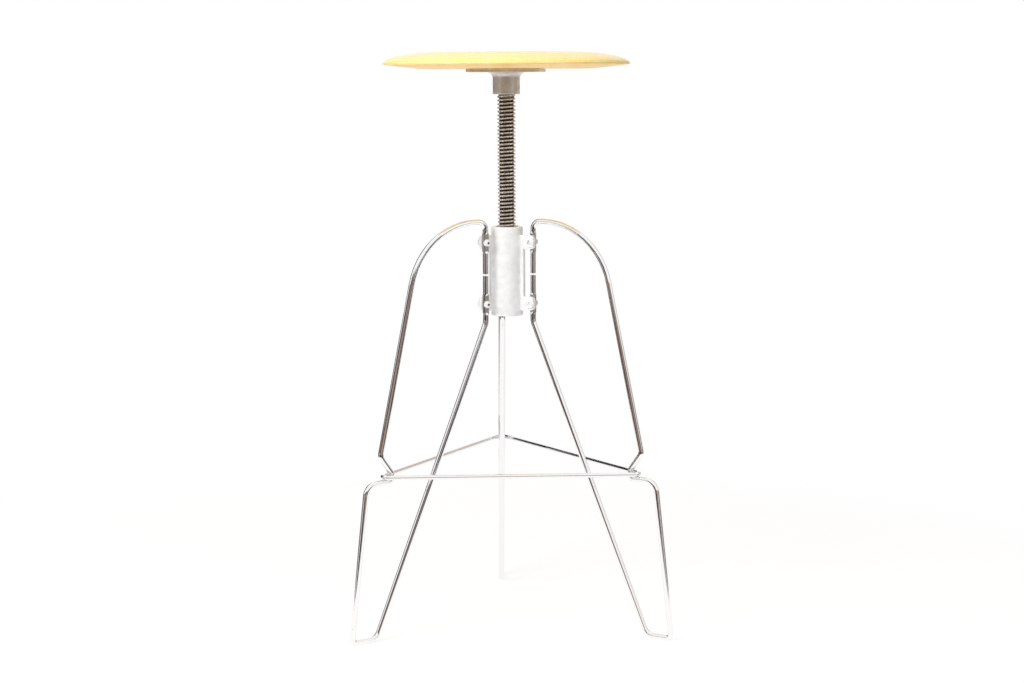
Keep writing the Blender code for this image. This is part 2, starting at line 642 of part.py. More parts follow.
def add_flange(stool, cutters, material, seat_axis):
    """The cast flange: a square plate under the seat, with a filleted boss for the lead screw."""
    half = FLANGE_SIDE / 2
    flange = rounded_block(
        "seat_flange", (-half, -half, FLANGE_BOTTOM), (half, half, FLANGE_TOP), FLANGE_CORNER, is_upright, stool
    )
    flange.data.materials.append(material)
    flange.parent = seat_axis
    flange.rotation_euler.z = FLANGE_TURN
    inside_plate = (FLANGE_TOP + FLANGE_BOTTOM) / 2
    angles = [math.pi / 2 * i / FILLET_STEPS for i in range(FILLET_STEPS + 1)]
    fillet = [
        (BOSS_RADIUS + BOSS_FILLET * (1 - math.sin(angle)), FLANGE_BOTTOM - BOSS_FILLET * (1 - math.cos(angle)))
        for angle in angles
    ]
    profile = [
        (0, inside_plate), (BOSS_RADIUS + BOSS_FILLET, inside_plate), *fillet,
        (BOSS_RADIUS, BOSS_BOTTOM + BOSS_CHAMFER), (BOSS_RADIUS - BOSS_CHAMFER, BOSS_BOTTOM), (0, BOSS_BOTTOM),
    ]
    combine(flange, turned("boss", profile, ROUND_STEPS, cutters), "UNION")
    journal_bore = prism(
        "journal_bore", JOURNAL_RADIUS + SCREW_CLEARANCE, BOSS_BOTTOM - FLANGE_THICKNESS,
        FLANGE_TOP + FLANGE_THICKNESS, SMALL_STEPS, cutters,
    )
    side_hole = prism(
        "boss_screw_hole", BOSS_SCREW_DIAMETER / 2 + SCREW_CLEARANCE, 0, BOSS_RADIUS * 2,
        FASTENER_STEPS, cutters,
    )
    side_hole.matrix_world = boss_screw_frame()
    for hole in (journal_bore, side_hole):
        combine(flange, hole, "DIFFERENCE")
    cut_flange_screw_holes(flange, cutters)


def add_boss_screw(stool, cutters, material, seat_axis):
    """The set screw that locks the boss to the lead screw's journal."""
    inner = JOURNAL_RADIUS + FACE_GAP
    outer = BOSS_RADIUS - BOSS_SCREW_RECESS
    radius = BOSS_SCREW_DIAMETER / 2
    profile = [(0, outer), (radius, outer), (radius, inner), (0, inner)]
    screw = turned("boss_set_screw", profile, FASTENER_STEPS, stool, material, seat_axis)
    socket = hexagon(
        "boss_socket", BOSS_SCREW_SOCKET, outer - BOSS_SCREW_SOCKET_DEPTH, outer + BOSS_SCREW_SOCKET, cutters
    )
    screw.matrix_world = socket.matrix_world = boss_screw_frame()
    combine(screw, socket, "DIFFERENCE")


def add_flange_screws(stool, material, seat_axis):
    """Four countersunk screws from the flange into the seat."""
    profile = flange_screw_profile(0.0)
    for i, spot in enumerate(flange_screw_spots(), 1):
        screw = turned(f"flange_screw_{i}", profile, FASTENER_STEPS, stool, material, seat_axis)
        screw.location = spot


def add_seat(stool, cutters, material, seat_axis):
    """The turned seat: a shallow dish, a long crown down to a blunt rim, and a bevelled underside."""
    rim = SEAT_DIAMETER / 2
    rim_bottom = SEAT_UNDERSIDE + SEAT_RIM_RISE
    rim_top = rim_bottom + SEAT_RIM_EDGE
    dish = SEAT_TOP - SEAT_DISH_DEPTH
    angles = [math.pi / 2 * i / CROWN_STEPS for i in range(CROWN_STEPS + 1)]
    crown = [
        (
            rim - SEAT_CROWN_WIDTH * (1 - math.sin(angle)),
            rim_top + (SEAT_TOP - rim_top) * max(0.0, math.cos(angle)) ** SEAT_CROWN_POWER,
        )
        for angle in angles
    ]
    profile = [
        (0, dish), (SEAT_DISH_FLAT, dish), *crown, (rim, rim_bottom),
        (rim - SEAT_BEVEL_WIDTH, SEAT_UNDERSIDE), (0, SEAT_UNDERSIDE),
    ]
    seat = turned("seat", profile, SEAT_STEPS, stool, material, seat_axis)
    cut_flange_screw_holes(seat, cutters)


def finish(stool):
    """Applies the modifiers, and shades round faces smooth up to their sharp edges."""
    graph = bpy.context.evaluated_depsgraph_get()
    solids = [obj for obj in stool.objects if obj.type == "MESH"]
    meshes = [bpy.data.meshes.new_from_object(obj.evaluated_get(graph)) for obj in solids]
    for obj, mesh in zip(solids, meshes):
        mesh.shade_smooth()
        mesh.set_sharp_from_angle(angle=SHARP_ANGLE)
        obj.modifiers.clear()
        obj.data = mesh


def main():
    clear_scene()
    stool = new_collection("bar_stool")
    cutters = new_collection("cutters")
    base = new_object("base_axis", None, stool)
    lift_axis = new_object("lift_axis", None, stool, parent=base)
    seat_axis = new_object("seat_axis", None, stool, parent=lift_axis)
    plywood = new_material("lacquered_plywood", (0.80, 0.50, 0.13), 0.30, 0.0)
    casting = new_material("cast_aluminium", (0.68, 0.68, 0.67), 0.42, 1.0)
    chrome = new_material("chromed_rod", (0.82, 0.82, 0.84), 0.08, 1.0)
    steel = new_material("lead_screw_steel", (0.36, 0.31, 0.26), 0.32, 1.0)
    bronze = new_material("nut_bronze", (0.45, 0.30, 0.14), 0.40, 1.0)
    zinc = new_material("zinc_plated_steel", (0.66, 0.66, 0.67), 0.28, 1.0)
    add_seat(stool, cutters, plywood, seat_axis)
    add_flange(stool, cutters, casting, seat_axis)
    add_flange_screws(stool, zinc, seat_axis)
    add_boss_screw(stool, cutters, zinc, seat_axis)
    add_lead_screw(stool, cutters, steel, seat_axis)
    add_stop(stool, cutters, zinc, lift_axis, seat_axis)
    add_nut(stool, bronze, base)
    add_hub(stool, cutters, casting, base)
    add_ear_screws(stool, cutters, zinc, base)
    add_legs(stool, cutters, chrome, base)
    add_footrest(stool, chrome, base)
    finish(stool)


main()
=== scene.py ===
"""Looks of the height-adjustable bar stool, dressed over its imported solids.

Metres, +Z up. The floor is z = 0, the lead screw stands on the Z axis and the rear leg points along +Y.
"""

import logging
import math
from abc import ABC, abstractmethod
from collections.abc import Iterable, Iterator, Sequence
from dataclasses import dataclass, field
from enum import Enum
from functools import cache
from typing import Any

import bmesh
import bpy
from bmesh.types import BMEdge, BMesh, BMVert
from bpy.types import ID, Material, Mesh, Node, NodeSocket, NodeTree, Object
from mathutils import Matrix, Vector


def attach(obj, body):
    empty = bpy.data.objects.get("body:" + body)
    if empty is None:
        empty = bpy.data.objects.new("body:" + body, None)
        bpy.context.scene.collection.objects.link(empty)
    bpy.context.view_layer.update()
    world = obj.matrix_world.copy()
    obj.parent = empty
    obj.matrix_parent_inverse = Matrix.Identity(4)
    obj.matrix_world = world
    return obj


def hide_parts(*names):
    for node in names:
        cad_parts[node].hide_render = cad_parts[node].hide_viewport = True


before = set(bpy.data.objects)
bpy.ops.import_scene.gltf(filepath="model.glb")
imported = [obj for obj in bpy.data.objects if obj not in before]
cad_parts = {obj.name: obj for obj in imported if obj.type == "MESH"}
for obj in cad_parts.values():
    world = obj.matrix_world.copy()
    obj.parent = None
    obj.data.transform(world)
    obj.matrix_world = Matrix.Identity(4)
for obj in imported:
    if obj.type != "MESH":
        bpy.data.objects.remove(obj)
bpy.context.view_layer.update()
log = logging.getLogger("bar_stool")

Profile = list[tuple[float, float]]
Sockets = dict[str | int, Any] | list[Any]
FACE_GAP = 0.0003  # between faces that rest on each other
SMOOTH_ANGLE = math.radians(32)  # edges sharper than this stay crisp
FLAT_ANGLE = math.radians(0.5)  # faces that meet at less than this are made one
SQUARE_ON = 0.99  # cosine of the angle within which a face counts as turned to a direction
MERGE_DISTANCE = 1e-6
NEARLY_ALL = 0.999  # a fillet takes this share of its run at most, so that no run shrinks to nothing
EDGE_LENGTH = 0.001  # an edge that is longer than this along an axis runs along it
TOOL_OVERSHOOT = 0.01  # how far a cutting tool stands out of what it cuts
SMALL_STEPS = 24  # facets round a small hole or screw
CORNER_STEPS = 8  # facets round the corner of a plate
NOISE_SPAN = (0.3, 0.7)  # nearly all values of a noise lie between these
LEVEL = (1.0, 1.0, 0.0)  # a direction times this lies level
DOME_ANGLES = tuple(math.radians(9 * i) for i in range(8))  # up a screw's head, from its rim to near its top


class Body(Enum):
    """The bodies that the pieces ride on."""

    BASE = "base"
    TURNING_SEAT = "turning_seat"


class Slot(Enum):
    """The record's material slots."""

    PLYWOOD = "plywood"
    CASTING = "casting"
    CHROME = "chrome"
    SCREW_STEEL = "screw_steel"
    BRONZE = "bronze"
    ZINC = "zinc"


class Joinery(Enum):
    """How a second solid changes the first one."""

    JOIN = "UNION"
    CUT = "DIFFERENCE"


class LegPlace(Enum):
    """The three legs, each with its direction from the axis in degrees."""

    REAR = 90.0
    LEFT = 210.0
    RIGHT = 330.0

    @property
    def azimuth(self) -> float:
        """The leg's direction in radians."""
        return math.radians(self.value)

    @property
    def turn(self) -> Matrix:
        """The turn from +X to the leg."""
        return Matrix.Rotation(self.azimuth, 4, "Z")


class EarLevel(Enum):
    """The two rings of ears on the hub."""

    UPPER = "upper"
    LOWER = "lower"


def linear(colour: str) -> tuple[float, float, float, float]:
    """Turns an sRGB hex colour to linear values.

    Args:
        colour: A colour such as "#E0A030".

    Returns:
        Red, green, blue and an alpha of 1.
    """
    shares = [int(colour[i:i + 2], 16) / 255 for i in (1, 3, 5)]
    red, green, blue = (s / 12.92 if s <= 0.04045 else ((s + 0.055) / 1.055) ** 2.4 for s in shares)
    return red, green, blue, 1.0


def feed(tree: NodeTree, node: Node, sockets: Sockets) -> None:
    """Sets input sockets of a node.

    The sockets of a Mix node share their names, so they go by number: 0 is the share, 2 and 3 are its two
    values, and 6 and 7 its two colours.

    Args:
        tree: The node tree of a material or of the world.
        node: The node.
        sockets: What each socket gets, by its name or number or as a list in order. That is a value, the
            output that feeds it, or the node whose first output does.
    """
    for socket, given in sockets.items() if isinstance(sockets, dict) else enumerate(sockets):
        source = given.outputs[0] if isinstance(given, Node) else given
        if isinstance(source, NodeSocket):
            tree.links.new(source, node.inputs[socket])
        else:
            node.inputs[socket].default_value = source


def add_node(tree: NodeTree, kind: str, sockets: Sockets | None = None, **settings: Any) -> Node:
    """Adds a shader node with its settings, values and links.

    Args:
        tree: The node tree of a material or of the world.
        kind: The node's type, without the ShaderNode that each type begins with.
        sockets: What its input sockets get, as for feed.
        settings: The node's own properties.

    Returns:
        The new node.
    """
    node = tree.nodes.new(f"ShaderNode{kind}")
    for name, value in settings.items():
        setattr(node, name, value)
    feed(tree, node, sockets or {})
    return node


def set_ramp(node: Node, *stops: tuple[float, str]) -> NodeSocket:
    """Sets the stops of a colour ramp.

    Args:
        node: The colour ramp.
        stops: Positions from 0 to 1, each with its hex colour.

    Returns:
        The ramp's colour output.
    """
    elements = node.color_ramp.elements
    while len(elements) < len(stops):
        elements.new(1.0)
    for element, (position, colour) in zip(elements, stops):
        element.position = position
        element.color = linear(colour)
    return node.outputs["Color"]


@dataclass(frozen=True)
class Finish(ABC):
    """A finish of the stool, which becomes one procedural material."""

    name: str
    slot: Slot

    @abstractmethod
    def paint(self, tree: NodeTree, place: NodeSocket) -> Sockets:
        """Adds the finish's nodes.

        Args:
            tree: The material's node tree.
            place: Object coordinates, in metres.

        Returns:
            What the sockets of its principled shader get.
        """

    @cache
    def material(self) -> Material:
        """Makes the material on first use.

        Returns:
            The same material each time.
        """
        material = bpy.data.materials.new(self.name)
        material.use_nodes = True
        tree = material.node_tree
        place = add_node(tree, "TexCoord").outputs["Object"]
        feed(tree, tree.nodes["Principled BSDF"], self.paint(tree, place))
        return material


@dataclass(frozen=True)
class LacqueredPlywood(Finish):
    """Birch plywood, turned on a lathe and lacquered.

    The eye sees amber wood with long fine grain, plies that show as rings on the crown and as bands on the
    bevel, and a clear gloss coat over both.
    """

    name: str = "lacquered_birch_plywood"
    slot: Slot = Slot.PLYWOOD
    pale: str = "#FFF1A6"
    amber: str = "#FFE088"
    brown: str = "#F2BC62"
    coat: float = 0.35
    specular: float = 0.35
    veneer: float = 0.0015
    figure_length: float = 0.240
    figure_width: float = 0.011
    figure_stops: tuple[float, ...] = (0.30, 0.52, 0.60, 0.72)  # where amber and pale take turns
    fibre_length: float = 0.060
    fibre_width: float = 0.0016  # real fibres are a tenth of this, and are drawn coarser so that they show
    fibre_range: tuple[float, float] = (0.52, 0.75)  # of the noise, from bare wood to the middle of a fibre
    fibre_depth: float = 0.0001
    fibre_bump: float = 0.20
    wander: float = 0.6  # how much the grain wanders from a straight line
    wobble_size: float = 0.070
    wobble_height: float = 0.0006
    glue_range: tuple[float, float] = (0.40, 0.50)  # of a ply, from its middle
    fibre_brown: float = 0.30  # how brown a fibre gets, then a cross ply and a glue line
    cross_brown: float = 0.22
    glue_brown: float = 0.45
    roughness: float = 0.42
    ior: float = 1.5
    coat_roughness: float = 0.12

    def paint(self, tree: NodeTree, place: NodeSocket) -> Sockets:
        """Adds grain along X and Y by turns from ply to ply, glue lines and the coat.

        Args:
            tree: The material's node tree.
            place: Object coordinates, in metres.

        Returns:
            What the sockets of its principled shader get.
        """
        height = add_node(tree, "SeparateXYZ", [place]).outputs["Z"]
        wobble = add_node(tree, "TexNoise", {"Vector": place, "Scale": 1 / self.wobble_size, "Detail": 1.0})
        lifted = add_node(tree, "Math", [wobble, self.wobble_height, height], operation="MULTIPLY_ADD")
        plies = add_node(tree, "Math", [lifted, self.veneer], operation="DIVIDE")
        number = add_node(tree, "Math", [plies], operation="FLOOR")
        is_cross = add_node(tree, "Math", [number, 2.0], operation="FLOORED_MODULO")
        figures, fibres = [], []
        for along_x in (True, False):
            for length, width, detail, found in (
                (self.figure_length, self.figure_width, 3.0, figures),
                (self.fibre_length, self.fibre_width, 2.0, fibres),
            ):
                scale = (1 / length, 1 / width, 1 / width) if along_x else (1 / width, 1 / length, 1 / width)
                stretched = add_node(tree, "Mapping", {"Vector": place, "Scale": scale})
                found.append(add_node(
                    tree, "TexNoise",
                    {"Vector": stretched, "Scale": 1.0, "Detail": detail, "Distortion": self.wander}))
        figure, fibre = (
            add_node(tree, "Mix", {0: is_cross, 2: pair[0], 3: pair[1]}) for pair in (figures, fibres))
        colour = set_ramp(
            add_node(tree, "ValToRGB", [figure]),
            *zip(self.figure_stops, (self.amber, self.pale, self.amber, self.pale)))
        within = add_node(tree, "Math", [plies], operation="FRACT")
        off_middle = add_node(tree, "Math", [within, 0.5], operation="SUBTRACT")
        edge = add_node(tree, "Math", [off_middle], operation="ABSOLUTE")
        streak = add_node(tree, "MapRange", [fibre, *self.fibre_range, 0.0, self.fibre_brown])
        cross = add_node(tree, "Math", [is_cross, self.cross_brown], operation="MULTIPLY")
        glue = add_node(
            tree, "MapRange", [edge, *self.glue_range, 0.0, self.glue_brown], interpolation_type="SMOOTHSTEP")
        for share in (streak, cross, glue):
            colour = add_node(
                tree, "Mix", {0: share, 6: colour, 7: linear(self.brown)}, data_type="RGBA").outputs[2]
        grain = add_node(
            tree, "Bump", {"Strength": self.fibre_bump, "Distance": self.fibre_depth, "Height": fibre})
        return {
            "Base Color": colour, "Normal": grain, "Roughness": self.roughness, "IOR": self.ior,
            "Specular IOR Level": self.specular, "Coat Weight": self.coat,
            "Coat Roughness": self.coat_roughness,
        }


@dataclass(frozen=True)
class CastAluminium(Finish):
    """Sand-cast aluminium, tumbled and left bare.

    The eye sees a pale satin grey with the fine grain of the sand, faint low dents, and a duller oxide in
    patches.
    """

    name: str = "sand_cast_aluminium"
    slot: Slot = Slot.CASTING
    bright: str = "#F7F7F7"
    oxide: str = "#EEEDEC"
    grain: float = 0.0012  # real sand is about 0.3 mm, and is drawn coarser so that it shows
    grain_depth: float = 0.0003
    grain_bump: float = 0.30
    dents: float = 0.0075
    dent_depth: float = 0.0006
    dent_bump: float = 0.10
    patches: float = 0.009
    patch_stops: tuple[float, float] = (0.35, 0.62)  # of the noise, from oxide to bright metal
    roughness: float = 0.48
    dulling: float = 0.10  # how much rougher the oxide is
    bare_metal: float = 0.20  # the rest of the light is scattered by the oxide

    def paint(self, tree: NodeTree, place: NodeSocket) -> Sockets:
        """Adds oxide patches and a two-scale bump.

        Args:
            tree: The material's node tree.
            place: Object coordinates, in metres.

        Returns:
            What the sockets of its principled shader get.
        """
        grain, dents, patches = (
            add_node(tree, "TexNoise", {"Vector": place, "Scale": 1 / size, "Detail": detail})
            for size, detail in ((self.grain, 2.0), (self.dents, 1.0), (self.patches, 4.0)))
        colour = set_ramp(
            add_node(tree, "ValToRGB", [patches]), *zip(self.patch_stops, (self.oxide, self.bright)))
        dull = self.roughness + self.dulling
        roughness = add_node(tree, "MapRange", [patches, *NOISE_SPAN, dull, self.roughness])
        low = add_node(
            tree, "Bump", {"Strength": self.dent_bump, "Distance": self.dent_depth, "Height": dents})
        fine = add_node(tree, "Bump", {
            "Strength": self.grain_bump, "Distance": self.grain_depth, "Height": grain, "Normal": low})
        return {"Base Color": colour, "Roughness": roughness, "Normal": fine, "Metallic": self.bare_metal}


@dataclass(frozen=True)
class ChromedSteel(Finish):
    """Drawn steel rod, bent and chromium plated.

    The eye sees a bright mirror with faint smudges, small pits that catch the light, and dull scuffs near the
    floor.
    """

    name: str = "chromed_steel_rod"
    slot: Slot = Slot.CHROME
    bright: str = "#F6F6F7"
    pitted: str = "#B9ADA4"
    smudge: float = 0.030
    smudge_range: tuple[float, float] = (0.35, 0.75)  # of the noise, from clear to smudged
    smudge_haze: float = 0.09  # what a smudge adds to the roughness
    pit_spacing: float = 0.0120
    pit_share: float = 0.05  # of the spacing
    pit_floor: float = 0.4  # of the pit
    pit_depth: float = 0.0002
    pit_bump: float = 0.3
    scuff_top: float = 0.012
    scuff_haze: float = 0.30
    haze: float = 0.05  # least roughness

    def paint(self, tree: NodeTree, place: NodeSocket) -> Sockets:
        """Adds smudges to the gloss, and pits.

        Args:
            tree: The material's node tree.
            place: Object coordinates, in metres.

        Returns:
            What the sockets of its principled shader get.
        """
        smudge = add_node(tree, "TexNoise", {"Vector": place, "Scale": 1 / self.smudge, "Detail": 3.0})
        spacing = add_node(tree, "TexVoronoi", {"Vector": place, "Scale": 1 / self.pit_spacing})
        pit_range = self.pit_share * self.pit_floor, self.pit_share
        pit = add_node(
            tree, "MapRange", [spacing.outputs["Distance"], *pit_range, 1.0, 0.0],
            interpolation_type="SMOOTHSTEP")
        colours = {6: linear(self.bright), 7: linear(self.pitted)}
        colour = add_node(tree, "Mix", {0: pit, **colours}, data_type="RGBA").outputs[2]
        smudged = self.haze + self.smudge_haze
        gloss = add_node(tree, "MapRange", [smudge, *self.smudge_range, self.haze, smudged])
        height = add_node(tree, "SeparateXYZ", [place]).outputs["Z"]
        scuff = add_node(
            tree, "MapRange", [height, 0.0, self.scuff_top, self.scuff_haze, 0.0],
            interpolation_type="SMOOTHSTEP")
        roughness = add_node(tree, "Math", [gloss, scuff], operation="ADD")
        dimple = add_node(
            tree, "Bump", {"Strength": self.pit_bump, "Distance": self.pit_depth, "Height": pit}, invert=True)
        return {"Base Color": colour, "Roughness": roughness, "Normal": dimple, "Metallic": 1.0}


@dataclass(frozen=True)
class OiledScrewSteel(Finish):
    """Carbon steel, thread-rolled and kept oiled.

    The eye sees brown oil in the valleys, flanks of dark steel and crests rubbed bright by the nut.
    """

    name: str = "oiled_screw_steel"
    slot: Slot = Slot.SCREW_STEEL
    oil: str = "#3E2D20"
    flank: str = "#AC9A88"
    crest: str = "#EFE6DA"
    tone_stops: tuple[float, ...] = (0.05, 0.55, 0.98)  # from the root at 0 to the crest at 1
    root_radius: float = 0.01005
    crest_radius: float = 0.0127
    blotch: float = 0.014
    blotch_shift: tuple[float, float] = (-0.22, 0.12)  # how far blotches of oil move the tones
    rub: float = 0.0016
    rub_depth: float = 0.0001
    rub_bump: float = 0.25
    oiled: float = 0.42  # roughness in the valleys and on the crests
    rubbed: float = 0.12
    bare_metal: float = 0.65  # the rest of the light is scattered by the oil

    def paint(self, tree: NodeTree, place: NodeSocket) -> Sockets:
        """Colours the thread by its distance from the axis, broken up by blotches of oil.

        Args:
            tree: The material's node tree.
            place: Object coordinates, in metres.

        Returns:
            What the sockets of its principled shader get.
        """
        flat = add_node(tree, "VectorMath", [place, LEVEL], operation="MULTIPLY")
        radius = add_node(tree, "VectorMath", [flat], operation="LENGTH").outputs["Value"]
        depth = add_node(tree, "MapRange", [radius, self.root_radius, self.crest_radius])
        blotch, rub = (
            add_node(tree, "TexNoise", {"Vector": place, "Scale": 1 / size, "Detail": detail})
            for size, detail in ((self.blotch, 4.0), (self.rub, 2.0)))
        spread = add_node(tree, "MapRange", [blotch, *NOISE_SPAN, *self.blotch_shift])
        shade = add_node(tree, "Math", [depth, spread], operation="ADD")
        colour = set_ramp(
            add_node(tree, "ValToRGB", [shade]), *zip(self.tone_stops, (self.oil, self.flank, self.crest)))
        roughness = add_node(tree, "MapRange", [shade, 0.0, 1.0, self.oiled, self.rubbed])
        worn = add_node(tree, "Bump", {"Strength": self.rub_bump, "Distance": self.rub_depth, "Height": rub})
        return {"Base Color": colour, "Roughness": roughness, "Normal": worn, "Metallic": self.bare_metal}


@dataclass(frozen=True)
class MachinedMetal(Finish):
    """A turned small part of plated steel or bronze.

    The eye sees one metal colour, with a second tone in cloudy patches and a fine machined bump.
    """

    base: str = "#FAFAFA"
    cloud: str = "#EDECE8"
    cloud_size: float = 0.004
    cloud_stops: tuple[float, float] = (0.38, 0.60)  # of the noise, from the second tone to the first
    tool_mark: float = 0.0008  # real tool marks are finer, and are drawn coarser so that they show
    mark_depth: float = 0.0001
    mark_bump: float = 0.15
    shine: float = 0.38
    dulling: float = 0.10  # how much rougher the clouds are
    bare_metal: float = 1.0  # the rest of the light is scattered by a dull film

    def paint(self, tree: NodeTree, place: NodeSocket) -> Sockets:
        """Adds the clouds and the tool marks.

        Args:
            tree: The material's node tree.
            place: Object coordinates, in metres.

        Returns:
            What the sockets of its principled shader get.
        """
        clouds, marks = (
            add_node(tree, "TexNoise", {"Vector": place, "Scale": 1 / size, "Detail": 2.0})
            for size in (self.cloud_size, self.tool_mark))
        colour = set_ramp(
            add_node(tree, "ValToRGB", [clouds]), *zip(self.cloud_stops, (self.cloud, self.base)))
        dull = self.shine + self.dulling
        roughness = add_node(tree, "MapRange", [clouds, *NOISE_SPAN, dull, self.shine])
        bump = add_node(
            tree, "Bump", {"Strength": self.mark_bump, "Distance": self.mark_depth, "Height": marks})
        return {"Base Color": colour, "Roughness": roughness, "Normal": bump, "Metallic": self.bare_metal}


PLYWOOD = LacqueredPlywood()
SEALED_PLYWOOD_PAINTED_SHADE = LacqueredPlywood(  # the seat's underside, sealed without the coat; its deeper orange tones are painted shade
    "sealed_birch_plywood_painted_shade", pale="#FFE4A2", amber="#FFD28A", brown="#EA9F50", coat=0.0, specular=0.10)
CASTING = CastAluminium()
TURNED_CASTING_PAINTED_SHADE = CastAluminium(  # the flange, faced and turned on a lathe; its darker warm greys are painted shade from the seat above
    "turned_cast_aluminium_painted_shade", bright="#E6DFD9", oxide="#D4CBC3", roughness=0.42, bare_metal=0.85)
CHROME = ChromedSteel()
PRESSED_CHROME_PAINTED_SHADE = ChromedSteel("pressed_chromed_steel_painted_shade", bright="#B4B0A6", haze=0.26)  # dulled by the press; its darker warm grey is painted shade
SCREW_STEEL = OiledScrewSteel()
ZINC = MachinedMetal("zinc_plated_steel", Slot.ZINC, bare_metal=0.30)
# painted shade: a dark colour on the faces inside the socket of a domed screw
SOCKET_PAINTED_SHADE = MachinedMetal("socket_painted_shade", Slot.ZINC, "#3A332D", "#28231F", shine=0.50)
BRONZE = MachinedMetal("machined_bronze", Slot.BRONZE, "#B08A52", "#8A6234", shine=0.34)


def as_mesh(name: str, bm: BMesh) -> Mesh:
    """Turns a bmesh into a mesh.

    Args:
        name: The mesh's name.
        bm: The bmesh. It is freed.

    Returns:
        The new mesh.
    """
    mesh = bpy.data.meshes.new(name)
    bm.to_mesh(mesh)
    bm.free()
    return mesh


def put(name: str, data: ID) -> Object:
    """Adds an object to the scene.

    Args:
        name: The object's name.
        data: Its mesh, lamp or camera.

    Returns:
        The new object.
    """
    thing = bpy.data.objects.new(name, data)
    bpy.context.scene.collection.objects.link(thing)
    return thing


@dataclass(frozen=True)
class Piece:
    """A finished piece of the stool: its name, what it rides on and which solids it stands for."""

    name: str
    body: Body
    finish: Finish
    nodes: tuple[str, ...]

    def place(self, bm: BMesh, *further: Finish) -> None:
        """Makes the piece from its mesh at the origin, dresses it and lets it ride on its body.

        Args:
            bm: The finished mesh, in the stool's frame. It is freed.
            further: Finishes of the faces whose material index is 1 and up.
        """
        mesh = as_mesh(self.name, bm)
        mesh.shade_smooth()
        mesh.set_sharp_from_angle(angle=SMOOTH_ANGLE)
        for finish in (self.finish, *further):
            mesh.materials.append(finish.material())
        piece = put(self.name, mesh)
        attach(piece, self.body.value)
        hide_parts(*self.nodes)
        log.info("%s: %d faces, rides on %s", self.name, len(mesh.polygons), self.body.value)


def dress_node(node: str, finish: Finish) -> None:
    """Gives a solid that is shown as it is the finish's material.

    Args:
        node: The solid's name.
        finish: Its finish.
    """
    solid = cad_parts[node]
    solid.data.materials.clear()
    solid.data.materials.append(finish.material())
    log.info("%s: kept, with %s", node, finish.name)


def closed(bm: BMesh) -> BMesh:
    """Merges doubled vertices and turns the faces outwards.

    Args:
        bm: The mesh.

    Returns:
        The same mesh.
    """
    bmesh.ops.remove_doubles(bm, verts=bm.verts, dist=MERGE_DISTANCE)
    bmesh.ops.recalc_face_normals(bm, faces=bm.faces)
    return bm


def fitted_reaches(corners: Sequence[Vector], radii: Sequence[float]) -> list[float]:
    """How far each fillet reaches along the runs beside it, shortened where two would meet.

    Args:
        corners: The corners of an open path.
        radii: A radius for each inner corner.

    Returns:
        A length for each inner corner.
    """
    reaches = [
        radius * math.tan((corner - before).angle(after - corner) / 2)
        for before, corner, after, radius in zip(corners, corners[1:], corners[2:], radii)
    ]
    for i in range(len(reaches) - 1):
        both = reaches[i] + reaches[i + 1]
        share = min(1.0, (corners[i + 2] - corners[i + 1]).length / both * NEARLY_ALL) if both else 1.0
        reaches[i] *= share
        reaches[i + 1] *= share
    return reaches


def filleted(corners: Profile, radii: Sequence[float], steps: int = 6) -> Profile:
    """Rounds the inner corners of a profile.

    Args:
        corners: Radius and height of each corner.
        radii: A radius for each inner corner, or 0 where it stays sharp.
        steps: Facets of each fillet.

    Returns:
        The rounded profile.
    """
    spots = [Vector(corner) for corner in corners]
    points = [spots[0]]
    for i, reach in enumerate(fitted_reaches(spots, radii)):
        before, corner, after = spots[i:i + 3]
        if reach == 0.0:
            points.append(corner)
            continue
        start = corner + (before - corner).normalized() * reach
        end = corner + (after - corner).normalized() * reach
        turn = (corner - before).angle(after - corner)
        depth = reach / math.sin(turn / 2) if turn else 0.0
        centre = corner + ((start + end) / 2 - corner).normalized() * depth
        for step in range(steps + 1):
            share = step / steps
            swing = math.sin((1 - share) * turn), math.sin(share * turn)
            points.append(centre + ((start - centre) * swing[0] + (end - centre) * swing[1]) / math.sin(turn))
    points.append(spots[-1])
    return [(point.x, point.y) for point in points]


def turned(profile: Profile, steps: int, ring: bool = False) -> BMesh:
    """Turns a profile about the Z axis.

    Args:
        profile: Radius and height of its points.
        steps: Facets round the axis.
        ring: Whether the profile is closed on itself, as of a washer.

    Returns:
        A closed mesh.
    """
    bm = bmesh.new()
    verts = [bm.verts.new((radius, 0.0, height)) for radius, height in profile]
    pairs = list(zip(verts, verts[1:] + verts[:1])) if ring else list(zip(verts, verts[1:]))
    edges = [bm.edges.new(pair) for pair in pairs]
    bmesh.ops.spin(
        bm, geom=[*verts, *edges], cent=(0, 0, 0), axis=(0, 0, 1), angle=math.tau, steps=steps,
        use_merge=True)
    return closed(bm)


def domed(radius: float, rim: float, height: float) -> Profile:
    """Half section of a screw's domed head.

    Args:
        radius: The head's radius.
        rim: Height of its straight side.
        height: Its whole height.

    Returns:
        Radius and rise of the points from its rim to near its top.
    """
    return [(radius * math.cos(a), rim + (height - rim) * math.sin(a)) for a in DOME_ANGLES]


def cylinder(radius: float, bottom: float, top: float, steps: int) -> BMesh:
    """An upright cylinder or prism between two heights, as a tool to cut or join with.

    Args:
        radius: Its radius, to the corners.
        bottom: Height of its lower end.
        top: Height of its upper end.
        steps: Its sides.

    Returns:
        A closed mesh about the Z axis.
    """
    bm = bmesh.new()
    middle = Matrix.Translation((0, 0, (bottom + top) / 2))
    bmesh.ops.create_cone(
        bm, cap_ends=True, segments=steps, radius1=radius, radius2=radius, depth=top - bottom, matrix=middle)
    return bm


def hexagon(across_flats: float, bottom: float, top: float) -> BMesh:
    """A hexagonal tool for a socket."""
    return cylinder(across_flats / math.sqrt(3), bottom, top, 6)


def block(low: Sequence[float], high: Sequence[float]) -> BMesh:
    """A block between two corners.

    Args:
        low: The corner with the least coordinates.
        high: The opposite corner.

    Returns:
        A closed mesh.
    """
    bm = bmesh.new()
    bmesh.ops.create_cube(bm, size=1.0)
    bmesh.ops.scale(bm, vec=Vector(high) - Vector(low), verts=bm.verts)
    bmesh.ops.translate(bm, vec=(Vector(low) + Vector(high)) / 2, verts=bm.verts)
    return bm


